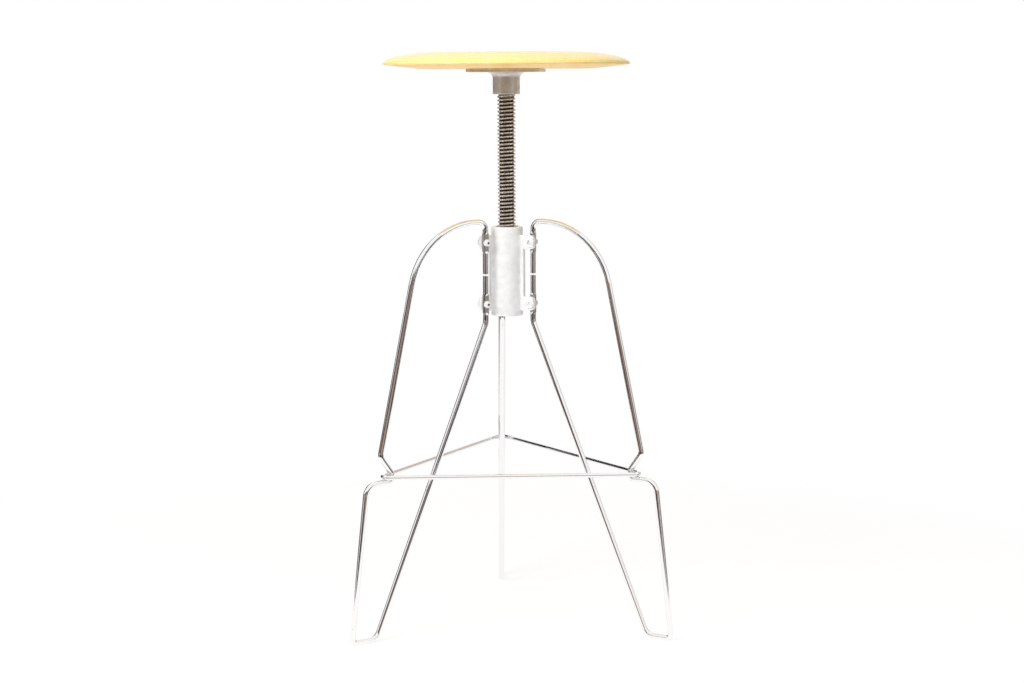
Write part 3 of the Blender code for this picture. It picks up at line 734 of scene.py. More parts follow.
def moved(bm: BMesh, matrix: Matrix) -> BMesh:
    """Moves a mesh and returns it."""
    bmesh.ops.transform(bm, matrix=matrix, verts=bm.verts)
    return bm


def rounded(bm: BMesh, edges: Iterable[BMEdge], radius: float, segments: int = 3) -> BMesh:
    """Rounds edges of a mesh.

    Args:
        bm: The mesh.
        edges: The edges to round.
        radius: The rounding's radius.
        segments: Facets across it.

    Returns:
        The same mesh.
    """
    bmesh.ops.bevel(
        bm, geom=list(edges), offset=radius, affect="EDGES", segments=segments, profile=0.5, material=-1,
        clamp_overlap=True)
    return bm


def sharp_edges(bm: BMesh, angle: float = SMOOTH_ANGLE) -> list[BMEdge]:
    """The edges whose two faces meet at more than an angle."""
    return [edge for edge in bm.edges if edge.is_manifold and edge.calc_face_angle() > angle]


def runs_along(edge: BMEdge, axis: int) -> bool:
    """Whether an edge runs along an axis, which is 0, 1 or 2 for X, Y or Z."""
    return abs(edge.verts[0].co[axis] - edge.verts[1].co[axis]) > EDGE_LENGTH


def marked(bm: BMesh, radius: float, low: float, high: float) -> BMesh:
    """Gives the faces of a recess along the Z axis the second finish, which is painted shade.

    Args:
        bm: The mesh.
        radius: Of the cylinder that holds the recess.
        low: The cylinder's lower end.
        high: Its upper end.

    Returns:
        The same mesh.
    """
    for face in bm.faces:
        middle = face.calc_center_median()
        face.material_index = int(middle.xy.length < radius and low < middle.z < high)
    return bm


def combined(first: BMesh, steps: Iterable[tuple[Joinery, BMesh]]) -> BMesh:
    """Joins solids to a first one or cuts them away, in turn.

    Args:
        first: The first solid. It is freed.
        steps: What is done with each further solid, which is freed too.

    Returns:
        The combined solid.
    """
    helpers = []

    def stand_in(bm: BMesh) -> Object:
        """A temporary object for one solid."""
        helpers.append(put("stand_in", as_mesh("stand_in", closed(bm))))
        return helpers[-1]

    target = stand_in(first)
    for joinery, bm in steps:
        modifier = target.modifiers.new(joinery.name, "BOOLEAN")
        modifier.operation = joinery.value
        modifier.solver = "EXACT"
        modifier.object = stand_in(bm)
    graph = bpy.context.evaluated_depsgraph_get()
    mesh = bpy.data.meshes.new_from_object(target.evaluated_get(graph))
    result = bmesh.new()
    result.from_mesh(mesh)
    bpy.data.meshes.remove(mesh)
    for helper in helpers:
        data = helper.data
        bpy.data.objects.remove(helper)
        bpy.data.meshes.remove(data)
    return result


@dataclass
class RodBender:
    """Bends a round rod as a bending machine does, in straight runs and turns about one axis."""

    radius: float
    start: Vector
    heading: Vector
    axis: Vector
    sides: int = 24
    step: float = math.radians(7)
    least_steps: int = 3
    hold: float = 0.0010  # a ring this far from each bend keeps the straight run's reflections straight
    bm: BMesh = field(init=False)
    ring: list[BMEdge] = field(init=False)

    def __post_init__(self) -> None:
        """Sets the rod's first ring."""
        self.bm = bmesh.new()
        turn = self.heading.to_track_quat("Z", "Y").to_matrix().to_4x4()
        bmesh.ops.create_circle(
            self.bm, cap_ends=False, segments=self.sides, radius=self.radius,
            matrix=Matrix.Translation(self.start) @ turn)
        self.ring = list(self.bm.edges)

    def run(self, length: float) -> None:
        """Draws the rod on in a straight line, with a ring near each end of it.

        Args:
            length: How far.
        """
        if length > 3 * self.hold:
            for part in (self.hold, length - 2 * self.hold, self.hold):
                self.draw(part)
        else:
            self.draw(length)

    def draw(self, length: float) -> None:
        """Extrudes the rod's last ring.

        Args:
            length: How far along the rod's heading.
        """
        made = bmesh.ops.extrude_edge_only(self.bm, edges=self.ring)["geom"]
        verts = {item for item in made if isinstance(item, BMVert)}
        bmesh.ops.translate(self.bm, vec=self.heading * length, verts=list(verts))
        self.ring = [item for item in made if isinstance(item, BMEdge) and verts.issuperset(item.verts)]
        self.start = self.start + self.heading * length

    def bend(self, angle: float, radius: float) -> None:
        """Turns the rod.

        Args:
            angle: How far, by the right-hand rule about the axis.
            radius: Of the rod's middle line.
        """
        side = self.axis.cross(self.heading) * math.copysign(radius, angle)
        centre = self.start + side
        verts = {vert for edge in self.ring for vert in edge.verts}
        made = bmesh.ops.spin(
            self.bm, geom=[*verts, *self.ring], cent=centre, axis=self.axis, angle=angle,
            steps=max(self.least_steps, math.ceil(abs(angle) / self.step)))
        self.ring = [item for item in made["geom_last"] if isinstance(item, BMEdge)]
        turn = Matrix.Rotation(angle, 3, self.axis)
        self.start = centre - turn @ side
        self.heading = turn @ self.heading

    def follow(self, corners: Sequence[Vector], radii: Sequence[float]) -> None:
        """Bends the rod along a path that starts where the rod is.

        Args:
            corners: The path's corners.
            radii: A bend radius for each inner corner, or 0 where the rod runs straight on.
        """
        reaches = [0.0, *fitted_reaches(corners, radii), 0.0]
        for i in range(1, len(corners)):
            run = corners[i] - corners[i - 1]
            self.run(run.length - reaches[i - 1] - reaches[i])
            if i < len(corners) - 1 and radii[i - 1]:
                after = corners[i + 1] - corners[i]
                turn = math.copysign(run.angle(after), run.cross(after).dot(self.axis))
                self.bend(turn, reaches[i] / math.tan(abs(turn) / 2))

    def cut_off(self, chamfer: float) -> BMesh:
        """Closes both ends with a chamfer.

        Args:
            chamfer: The chamfer's width.

        Returns:
            The finished rod.
        """
        rims = [edge for edge in self.bm.edges if edge.is_boundary]
        bmesh.ops.holes_fill(self.bm, edges=rims, sides=0)
        return rounded(closed(self.bm), rims, chamfer, segments=1)

    def weld(self) -> BMesh:
        """Joins the rod's end to its start and returns the rod."""
        return closed(self.bm)


@dataclass
class Seat:
    """The turned plywood seat."""

    underside: float = 0.7780
    radius: float = 0.1700
    thickness: float = 0.0225
    rim_rise: float = 0.0055
    rim_edge: float = 0.0020
    crown_width: float = 0.0750
    crown_power: float = 1.15
    bevel_width: float = 0.0500
    dish_depth: float = 0.0020
    dish_flat: float = 0.0400
    rim_rounds: tuple[float, ...] = (0.0030, 0.0012, 0.0100)  # above, below and where the bevel ends
    dish_steps: int = 10
    crown_steps: int = 24
    steps: int = 128

    def profile(self) -> Profile:
        """The seat's half section, from the middle of its dish out to the rim and back under it.

        Returns:
            Radius and height of its points.
        """
        top = self.underside + self.thickness
        rim_bottom = self.underside + self.rim_rise
        rim_top = rim_bottom + self.rim_edge
        ridge = self.radius - self.crown_width
        dish = [
            (self.dish_flat + (ridge - self.dish_flat) * share,
             top - self.dish_depth * (1 + math.cos(math.pi * share)) / 2)
            for share in (i / self.dish_steps for i in range(self.dish_steps + 1))
        ]
        crown = [
            (ridge + self.crown_width * math.sin(angle),
             rim_top + (top - rim_top) * math.cos(angle) ** self.crown_power)
            for angle in (math.pi / 2 * i / self.crown_steps for i in range(1, self.crown_steps - 1))
        ]
        rim = filleted(
            [crown[-1], (self.radius, rim_top), (self.radius, rim_bottom),
             (self.radius - self.bevel_width, self.underside), (0.0, self.underside)],
            self.rim_rounds)
        return [(0.0, top - self.dish_depth), *dish, *crown, *rim[1:]]

    def build(self, pilot_holes: Iterable[BMesh]) -> BMesh:
        """Turns the seat and drills it for its screws.

        Args:
            pilot_holes: The tools that drill it.

        Returns:
            The seat, with its underside marked for the second finish.
        """
        holes = ((Joinery.CUT, hole) for hole in pilot_holes)
        seat = combined(turned(self.profile(), self.steps), holes)
        rim_middle = self.underside + self.rim_rise + self.rim_edge / 2
        for face in seat.faces:
            face.material_index = int(face.calc_center_median().z < rim_middle)
        return seat

    def dress(self, pilot_holes: Iterable[BMesh]) -> None:
        """Builds the seat and places it, lacquered above and only sealed below, where its deeper orange is
        painted shade.
        """
        seat = Piece("turned_seat", Body.TURNING_SEAT, PLYWOOD, ("seat",))
        seat.place(self.build(pilot_holes), SEALED_PLYWOOD_PAINTED_SHADE)


@dataclass
class SeatFlange:
    """The cast plate under the seat, with its boss and screws."""

    bottom: float = 0.7732
    side: float = 0.1000
    corner: float = 0.0060
    thickness: float = 0.0045
    edge: float = 0.0008
    turn: float = math.radians(-8)
    boss_bottom: float = 0.7430
    boss_radius: float = 0.01875
    boss_fillet: float = 0.0085
    boss_edge: float = 0.0012
    journal_radius: float = 0.0110
    set_screw_rise: float = 0.0120
    set_screw_radius: float = 0.0030
    wood_screw_inset: float = 0.0120
    wood_screw_radius: float = 0.00225
    wood_screw_head: float = 0.0045
    wood_screw_grip: float = 0.0120
    wood_screw_tip: float = 0.4  # of its shank
    recess_reach: float = 0.0022
    recess_half: float = 0.0004
    recess_depth: float = 0.0016
    clearance: float = 0.0003
    fillet_steps: int = 10
    steps: int = 64

    @property
    def top(self) -> float:
        """Height of the plate's upper face."""
        return self.bottom + self.thickness

    def screw_frames(self) -> list[Matrix]:
        """The places of the four wood screws.

        Returns:
            A frame for each, with Z along the screw.
        """
        half = self.side / 2 - self.wood_screw_inset
        turn = Matrix.Rotation(self.turn, 4, "Z")
        corners = (1, 1), (-1, 1), (-1, -1), (1, -1)
        return [turn @ Matrix.Translation((x * half, y * half, 0)) for x, y in corners]

    def screw_profile(self, grow: float) -> Profile:
        """Half section of a wood screw, head down, or of its hole when it is grown.

        Args:
            grow: How much wider and longer than the screw it is.

        Returns:
            Radius and height of its points.
        """
        head, shank = self.wood_screw_head + grow, self.wood_screw_radius + grow
        low = self.bottom - grow
        high = self.top + FACE_GAP + self.wood_screw_grip + grow
        return [
            (0, high), (shank * self.wood_screw_tip, high), (shank, high - shank),
            (shank, low + head - shank), (head, low), (0, low)]

    def screw_holes(self) -> Iterator[BMesh]:
        """The tools that cut the four screw holes."""
        for place in self.screw_frames():
            yield moved(turned(self.screw_profile(self.clearance), SMALL_STEPS), place)

    def set_screw_frame(self) -> Matrix:
        """A frame on the axis at the boss's set screw, with Z pointing out through the boss."""
        rise = Matrix.Translation((0, 0, self.boss_bottom + self.set_screw_rise))
        return Matrix.Rotation(self.turn, 4, "Z") @ rise @ Matrix.Rotation(math.pi / 2, 4, "Y")

    def build(self) -> BMesh:
        """Casts the plate and the boss in one, and bores them.

        Returns:
            The finished flange.
        """
        half = self.side / 2
        plate = block((-half, -half, self.bottom), (half, half, self.top))
        rounded(plate, [edge for edge in plate.edges if runs_along(edge, 2)], self.corner, CORNER_STEPS)
        rounded(plate, sharp_edges(plate), self.edge)
        inside = (self.bottom + self.top) / 2
        boss = filleted(
            [(0, inside), (self.boss_radius + self.boss_fillet, inside),
             (self.boss_radius + self.boss_fillet, self.bottom), (self.boss_radius, self.bottom),
             (self.boss_radius, self.boss_bottom), (0, self.boss_bottom)],
            (0.0, 0.0, self.boss_fillet * NEARLY_ALL, self.boss_edge), self.fillet_steps)
        bore = cylinder(
            self.journal_radius + self.clearance, self.boss_bottom - TOOL_OVERSHOOT,
            self.top + TOOL_OVERSHOOT, self.steps)
        side_hole = cylinder(self.set_screw_radius + self.clearance, 0, self.boss_radius * 2, SMALL_STEPS)
        return combined(moved(plate, Matrix.Rotation(self.turn, 4, "Z")), [
            (Joinery.JOIN, turned(boss, self.steps)),
            (Joinery.CUT, bore),
            (Joinery.CUT, moved(side_hole, self.set_screw_frame())),
            *((Joinery.CUT, hole) for hole in self.screw_holes()),
        ])

    def build_wood_screw(self) -> BMesh:
        """A countersunk wood screw with a cross recess."""
        arms = (
            block((-x, -y, self.bottom - TOOL_OVERSHOOT), (x, y, self.bottom + self.recess_depth))
            for x, y in ((self.recess_reach, self.recess_half), (self.recess_half, self.recess_reach)))
        return combined(turned(self.screw_profile(0.0), SMALL_STEPS), ((Joinery.CUT, arm) for arm in arms))

    def dress(self) -> None:
        """Builds the flange and its screws, and places them."""
        Piece("cast_flange", Body.TURNING_SEAT, TURNED_CASTING_PAINTED_SHADE, ("seat_flange",)).place(self.build())
        for i, place in enumerate(self.screw_frames(), 1):
            screw = moved(self.build_wood_screw(), place)
            Piece(f"wood_screw_{i}", Body.TURNING_SEAT, ZINC, (f"flange_screw_{i}",)).place(screw)
        dress_node("boss_set_screw", ZINC)


@dataclass
class LeadScrew:
    """The lead screw, with the stop under it."""

    bottom: float = 0.4693
    top: float = 0.7427
    journal_top: float = 0.77545
    crest: float = 0.0127
    depth: float = 0.00265
    pitch: float = 0.00508
    crest_width: float = 0.00188
    flank: float = math.radians(14.5)
    journal_radius: float = 0.0110
    stop_hole: float = 0.0043
    stop_depth: float = 0.0183
    thread_round: float = 0.0003
    round_steps: int = 2
    spare_turns: int = 3  # two of them below
    journal_steps: int = 48
    steps: int = 32

    def section(self) -> Profile:
        """One pitch of the thread, from root to root, with its corners rounded.

        Returns:
            Radius and rise of its points.
        """
        root = self.crest - self.depth
        run = self.depth * math.tan(self.flank)
        valley = self.pitch - self.crest_width - 2 * run
        corners = [
            (root, 0.0), (root, valley), (self.crest, valley + run),
            (self.crest, valley + run + self.crest_width), (root, self.pitch)]
        return filleted(corners, [self.thread_round] * 3, self.round_steps)

    def thread(self) -> BMesh:
        """The thread, wound a few turns too long and then cut to length.

        Returns:
            A closed mesh.
        """
        turns = math.ceil((self.top - self.bottom) / self.pitch) + self.spare_turns
        bm = bmesh.new()
        low = self.bottom - 2 * self.pitch
        verts = [bm.verts.new((radius, 0, low + height)) for radius, height in self.section()]
        edges = [bm.edges.new(pair) for pair in zip(verts, verts[1:])]
        bmesh.ops.spin(
            bm, geom=[*verts, *edges], cent=(0, 0, 0), axis=(0, 0, 1), dvec=(0, 0, self.pitch / self.steps),
            angle=math.tau * turns, steps=self.steps * turns)
        bmesh.ops.remove_doubles(bm, verts=bm.verts, dist=MERGE_DISTANCE)
        for height, outward in ((self.top, 1), (self.bottom, -1)):
            cut = bmesh.ops.bisect_plane(
                bm, geom=[*bm.verts, *bm.edges, *bm.faces], dist=MERGE_DISTANCE, plane_co=(0, 0, height),
                plane_no=(0, 0, outward), clear_outer=True)
            rim = [item for item in cut["geom_cut"] if isinstance(item, BMEdge)]
            bmesh.ops.contextual_create(bm, geom=rim)
        return closed(bm)

    def build(self) -> BMesh:
        """Adds the journal to the thread, and the hole for the stop.

        Returns:
            The finished screw.
        """
        journal = cylinder(self.journal_radius, self.top - self.pitch, self.journal_top, self.journal_steps)
        hole = cylinder(self.stop_hole, self.bottom - self.pitch, self.bottom + self.stop_depth, SMALL_STEPS)
        return combined(self.thread(), [(Joinery.JOIN, journal), (Joinery.CUT, hole)])

    def dress(self) -> None:
        """Builds the screw, places it and dresses the stop."""
        Piece("lead_screw", Body.TURNING_SEAT, SCREW_STEEL, ("lift_screw",)).place(self.build())
        for node in ("stop_washer", "stop_screw"):
            dress_node(node, ZINC)


@dataclass
class HubCasting:
    """The cast hub with its ears and ribs, the nut in it, and the screws of the ears."""

    bottom: float = 0.4370
    top: float = 0.5610
    radius: float = 0.02228
    bore: float = 0.0145
    nut_seat: float = 0.0162
    shoulder: float = 0.5197
    top_round: float = 0.0032
    bottom_round: float = 0.0012
    ear_levels: dict[EarLevel, float] = field(
        default_factory=lambda: {EarLevel.UPPER: 0.5400, EarLevel.LOWER: 0.4547})
    ear_tall: float = 0.0190
    lug_thickness: float = 0.0065
    lug_overhang: float = 0.0056
    lug_corner: float = 0.0055
    rib_thickness: float = 0.0060
    rib_reach: float = 0.0052
    cast_fillet: float = 0.0014
    cast_edge: float = 0.0008
    rod_radius: float = 0.0040
    rod_distance: float = 0.03803
    rod_shift: float = 0.0060
    flat_thickness: float = 0.0053  # of the rod where it lies on an ear
    shank: float = 0.0025
    shank_chamfer: float = 0.0004
    screw_steps: int = 40
    clearance: float = 0.0003
    clamp_head: float = 0.0065
    clamp_height: float = 0.0024
    clamp_rim: float = 0.0008
    clamp_socket: float = 0.0050
    clamp_socket_depth: float = 0.0018
    set_head: float = 0.00485
    set_height: float = 0.0056
    set_rim: float = 0.0022
    set_socket: float = 0.0030
    set_socket_depth: float = 0.0030
    socket_lip: float = 0.0006  # what lies within this of a head's top is the head itself
    nut_radius: float = 0.0159
    nut_bore: float = 0.0132
    nut_top: float = 0.5600
    nut_bottom: float = 0.5200
    nut_chamfer: float = 0.0010
    fillet_steps: int = 4
    hole_steps: int = 32
    steps: int = 72

    @property
    def lug_face(self) -> float:
        """How far beside the hub's radius the side of a lug is that the rod lies on."""
        return self.rod_shift - self.flat_thickness / 2 - FACE_GAP

    @property
    def cast_root(self) -> float:
        """Where the lugs and the ribs begin, inside the column's wall."""
        return (self.nut_seat + self.radius) / 2

    def ears(self) -> Iterator[tuple[str, Matrix]]:
        """Goes through the ears.

        Returns:
            Names and frames. X runs outward from the axis, Y sideways and Z up from the ear's middle.
        """
        for level, height in self.ear_levels.items():
            for leg in LegPlace:
                yield f"{leg.name.lower()}_{level.value}", Matrix.Translation((0, 0, height)) @ leg.turn

    def cross_frame(self, ear: Matrix) -> Matrix:
        """The middle of the ear's rod, with Z pointing sideways along the hole for its two screws."""
        middle = Matrix.Translation((self.rod_distance, self.rod_shift, 0))
        return ear @ middle @ Matrix.Rotation(-math.pi / 2, 4, "X")

    def cross_hole(self) -> BMesh:
        """The tool that drills an ear, or the rod on it, for the two screws."""
        return cylinder(self.shank + self.clearance, -self.ear_tall, self.ear_tall, self.hole_steps)

    def lug(self) -> BMesh:
        """The flat lug of an ear, with round outer corners.

        Returns:
            A closed mesh in the ear's frame.
        """
        half = self.ear_tall / 2
        lug = block(
            (self.cast_root, self.lug_face - self.lug_thickness, -half),
            (self.rod_distance + self.lug_overhang, self.lug_face, half))
        outer = [
            edge for edge in lug.edges
            if runs_along(edge, 1) and all(vert.co.x > self.rod_distance for vert in edge.verts)]
        return rounded(lug, outer, self.lug_corner, CORNER_STEPS)

    def rib(self) -> BMesh:
        """The upright rib between the two ears of a leg."""
        middle, half = self.lug_face - self.lug_thickness / 2, self.rib_thickness / 2
        return block(
            (self.cast_root, middle - half, self.ear_levels[EarLevel.LOWER]),
            (self.radius + self.rib_reach, middle + half, self.ear_levels[EarLevel.UPPER]))

    def build(self) -> BMesh:
        """Casts the column, the ears and the ribs in one, rounds the casting and then bores it.

        Returns:
            The finished hub.
        """
        column = turned(
            filleted(
                [(0, self.top), (self.radius, self.top), (self.radius, self.bottom), (0, self.bottom)],
                (self.top_round, self.bottom_round)), self.steps)
        castings = [
            *(moved(self.rib(), leg.turn) for leg in LegPlace),
            *(moved(self.lug(), ear) for _, ear in self.ears()),
        ]
        casting = combined(column, ((Joinery.JOIN, solid) for solid in castings))
        bmesh.ops.dissolve_limit(casting, angle_limit=FLAT_ANGLE, verts=casting.verts, edges=casting.edges)
        hollows = [edge for edge in sharp_edges(casting) if not edge.is_convex]
        rounded(casting, hollows, self.cast_fillet, self.fillet_steps)
        rounded(casting, sharp_edges(casting), self.cast_edge)
        cuts = [
            cylinder(self.bore, self.bottom - TOOL_OVERSHOOT, self.top + TOOL_OVERSHOOT, self.steps),
            cylinder(self.nut_seat, self.shoulder, self.top + TOOL_OVERSHOOT, self.steps),
            *(moved(self.cross_hole(), self.cross_frame(ear)) for _, ear in self.ears()),
        ]
        return combined(casting, ((Joinery.CUT, cut) for cut in cuts))

    def build_clamp_screw(self) -> BMesh:
        """A button-head socket screw along an ear's cross hole, with its head on the lug.

        Returns:
            A closed mesh in the cross hole's frame.
        """
        end = -FACE_GAP / 2
        under = self.lug_face - self.lug_thickness - self.rod_shift - FACE_GAP
        low = under - self.clamp_height
        head = domed(self.clamp_head, self.clamp_rim, self.clamp_height)
        profile = [
            (0, end), (self.shank - self.shank_chamfer, end), (self.shank, end - self.shank_chamfer),
            (self.shank, under), (self.clamp_head, under), *((radius, under - rise) for radius, rise in head),
            (0, low)]
        socket = hexagon(self.clamp_socket, low - TOOL_OVERSHOOT, low + self.clamp_socket_depth)
        return combined(turned(profile, self.screw_steps), [(Joinery.CUT, socket)])

    def build_set_screw(self) -> BMesh:
        """A domed socket screw along an ear's cross hole, with its head on the flat of the rod.

        Returns:
            A closed mesh in the cross hole's frame, with its socket marked for the second finish, a painted
            shade.
        """
        end = FACE_GAP / 2
        under = self.flat_thickness / 2 + FACE_GAP
        high = under + self.set_height
        head = domed(self.set_head, self.set_rim, self.set_height)
        profile = [
            (0, high), *((radius, under + rise) for radius, rise in reversed(head)), (self.set_head, under),
            (self.shank, under), (self.shank, end + self.shank_chamfer),
            (self.shank - self.shank_chamfer, end), (0, end)]
        end_of_socket = high - self.set_socket_depth
        socket = hexagon(self.set_socket, end_of_socket, high + TOOL_OVERSHOOT)
        screw = combined(turned(profile, self.screw_steps), [(Joinery.CUT, socket)])
        reach = self.set_socket / math.sqrt(3)
        return marked(screw, reach, end_of_socket - self.socket_lip, high - self.socket_lip)

    def build_nut(self) -> BMesh:
        """The nut, with chamfered mouths.

        Returns:
            A closed mesh.
        """
        chamfer = self.nut_chamfer
        mouth = self.nut_bore + chamfer
        return turned([
            (self.nut_radius, self.nut_top), (self.nut_radius, self.nut_bottom), (mouth, self.nut_bottom),
            (self.nut_bore, self.nut_bottom + chamfer), (self.nut_bore, self.nut_top - chamfer),
            (mouth, self.nut_top),
        ], self.steps, ring=True)

    def dress(self) -> None:
        """Builds the hub, the nut and the screws, and places them."""
        Piece("cast_hub", Body.BASE, CASTING, ("hub",)).place(self.build())
        Piece("lift_nut", Body.BASE, BRONZE, ("nut_bush",)).place(self.build_nut())
        for name, ear in self.ears():
            clamp = moved(self.build_clamp_screw(), self.cross_frame(ear))
            Piece(f"button_screw_{name}", Body.BASE, ZINC, (f"clamp_screw_{name}",)).place(clamp)
            screw = moved(self.build_set_screw(), self.cross_frame(ear))
            Piece(f"domed_screw_{name}", Body.BASE, ZINC, (f"set_screw_{name}",)).place(screw, SOCKET_PAINTED_SHADE)


@dataclass
class LegRods:
    """The three bent legs, each one rod in an upright plane beside its radius."""

    hub: HubCasting
    end_gap: float = 0.0020
    end_drop: float = 0.0018  # the ends meet this far below the middle between the ears
    flat_width: float = 0.0095
    flat_half: float = 0.0121
    flat_runout: float = 0.0022
    arch_rise: float = 0.0080
    outer_lean: float = math.radians(12.3)
    shelf_height: float = 0.2208
    shelf_length: float = 0.0373
    notch_radius: float = 0.1887
    notch_rise: float = 0.0122
    mouth_rise: float = 0.0352
    mouth_overhang: float = 0.0163
    foot_radius: float = 0.2515
    foot_length: float = 0.0370
    kink_drop: float = 0.0084
    bends: tuple[float, ...] = (0.0120, 0.1020, 0.0120, 0.0060, 0.0060, 0.0180, 0.0065, 0.0150, 0.0200)
    end_chamfer: float = 0.0005

    def flat_ends(self, level: EarLevel) -> list[tuple[float, float]]:
        """Where the rod at an ear stops being round, is flat, and is round again.

        Args:
            level: The ear's ring.

        Returns:
            Radius and height of the points, upwards.
        """
        ends = self.flat_half + self.flat_runout
        rises = -ends, -self.flat_half, self.flat_half, ends
        return [(self.hub.rod_distance, self.hub.ear_levels[level] + rise) for rise in rises]

    def off_ear(self, height: float) -> float:
        """How far a height is from the middle of the nearest ear."""
        return min(abs(height - level) for level in self.hub.ear_levels.values())

    def path(self) -> tuple[list[Vector], list[float]]:
        """The middle line of a leg that points along +X, from the upper ear round to the lower ear.

        Returns:
            The line's corners, and a bend radius for each inner corner, which is 0 on a straight run.
        """
        hub, rod = self.hub, self.hub.rod_distance
        arch_height = hub.top + self.arch_rise
        mouth = self.notch_radius + self.mouth_overhang, self.shelf_height + self.mouth_rise
        arch_radius = mouth[0] - (arch_height - mouth[1]) * math.tan(self.outer_lean)
        ends_height = sum(hub.ear_levels.values()) / 2 - self.end_drop
        upper, lower = self.flat_ends(EarLevel.UPPER), self.flat_ends(EarLevel.LOWER)
        corners = [
            (rod, ends_height + self.end_gap / 2),
            *upper,
            (rod, arch_height),
            (arch_radius, arch_height),
            mouth,
            (self.notch_radius, self.shelf_height + self.notch_rise),
            (self.notch_radius, self.shelf_height),
            (self.notch_radius + self.shelf_length, self.shelf_height),
            (self.foot_radius, hub.rod_radius),
            (self.foot_radius - self.foot_length, hub.rod_radius),
            (rod, hub.bottom - self.kink_drop),
            *lower,
            (rod, ends_height - self.end_gap / 2),
        ]
        radii = [*(0.0 for _ in upper), *self.bends, *(0.0 for _ in lower)]
        return [Vector((radius, hub.rod_shift, height)) for radius, height in corners], radii

    def press(self, rod: BMesh) -> None:
        """Presses the rod flat at its two ears, so that it grows wider along the radius.

        Args:
            rod: The bent rod of a leg that points along +X.
        """
        hub, thick = self.hub, self.hub.flat_thickness / 2
        for vert in rod.verts:
            out, side = vert.co.x - hub.rod_distance, vert.co.y - hub.rod_shift
            is_pressed = self.off_ear(vert.co.z) < self.flat_half + self.flat_runout / 2
            if is_pressed and abs(out) < 2 * hub.rod_radius:
                vert.co.x = hub.rod_distance + out * self.flat_width / (2 * hub.rod_radius)
                vert.co.y = hub.rod_shift + max(-thick, min(thick, side))

    def build(self) -> BMesh:
        """Bends one leg, which points along +X, presses it flat at the ears and drills it there.

        Returns:
            The finished leg, with its flats marked for the second finish.
        """
        corners, radii = self.path()
        bender = RodBender(self.hub.rod_radius, corners[0], Vector((0, 0, 1)), Vector((0, 1, 0)))
        bender.follow(corners, radii)
        rod = bender.cut_off(self.end_chamfer)
        self.press(rod)
        ears = (Matrix.Translation((0, 0, height)) for height in self.hub.ear_levels.values())
        holes = (moved(self.hub.cross_hole(), self.hub.cross_frame(ear)) for ear in ears)
        rod = combined(rod, ((Joinery.CUT, hole) for hole in holes))
        for face in rod.faces:
            is_pressed = self.off_ear(face.calc_center_median().z) < self.flat_half
            face.material_index = int(is_pressed and abs(face.normal.y) > SQUARE_ON)
        return rod

    def dress(self) -> None:
        """Builds the legs and places them, bright but for the pressed flats, whose darker grey is painted
        shade.
        """
        for leg in LegPlace:
            name = leg.name.lower()
            rod = moved(self.build(), leg.turn)
            Piece(f"bent_leg_{name}", Body.BASE, CHROME, (f"leg_{name}",)).place(rod, PRESSED_CHROME_PAINTED_SHADE)


@dataclass
class Footrest:
    """The triangle of thinner rod that lies on the legs' shelves."""

    legs: LegRods
    radius: float = 0.003175
    slack: float = 0.0046
    bend: float = 0.0090
    sides: int = 20

    def build(self) -> BMesh:
        """Bends the triangle from the middle of one side, and welds its ends.

        Returns:
            The finished footrest.
        """
        rod = self.legs.hub.rod_radius
        tip = self.legs.notch_radius + rod + self.slack + self.radius
        height = self.legs.shelf_height + rod + FACE_GAP + self.radius
        turn = math.atan2(self.legs.hub.rod_shift, tip)
        corners = [
            Vector((math.cos(leg.azimuth + turn), math.sin(leg.azimuth + turn), 0)) * (tip + self.bend)
            + Vector((0, 0, height)) for leg in LegPlace]
        start = (corners[-1] + corners[0]) / 2
        heading = (corners[0] - start).normalized()
        bender = RodBender(self.radius, start, heading, Vector((0, 0, 1)), self.sides)
        bender.follow([start, *corners, start], [self.bend] * len(corners))
        return bender.weld()

    def dress(self) -> None:
        """Builds the footrest and places it."""
        Piece("footrest_triangle", Body.BASE, CHROME, ("footrest_ring",)).place(self.build())


@dataclass(frozen=True)
class RoomPatch:
    """A part of the room that only mirrors show, by its direction from the stool.

    Angles are in degrees. The azimuth is 0 in front and grows to the right, and the elevation is 0 on the
    horizon.
    """

    azimuth: float
    half_width: float
    low: float
    high: float
    colour: str
    softness: float = 3.0

    def edges(self) -> tuple[tuple[float, float], ...]:
        """Where the patch begins and where it is full.

        Returns:
            Two cosines from its azimuth, two sines up from its low edge and two down from its high one.
        """
        soft = math.radians(self.softness)
        half, low, high = (math.radians(angle) for angle in (self.half_width, self.low, self.high))
        return (
            (math.cos(half + soft), math.cos(half - soft)),
            (math.sin(low - soft), math.sin(low + soft)),
            (math.sin(high + soft), math.sin(high - soft)),
        )


@dataclass(frozen=True)
class SoftBox:
    """A square lamp: where it hangs, what it is turned to, its side and its power in watts."""

    name: str
    spot: tuple[float, float, float]
    target: tuple[float, float, float]
    side: float
    power: float


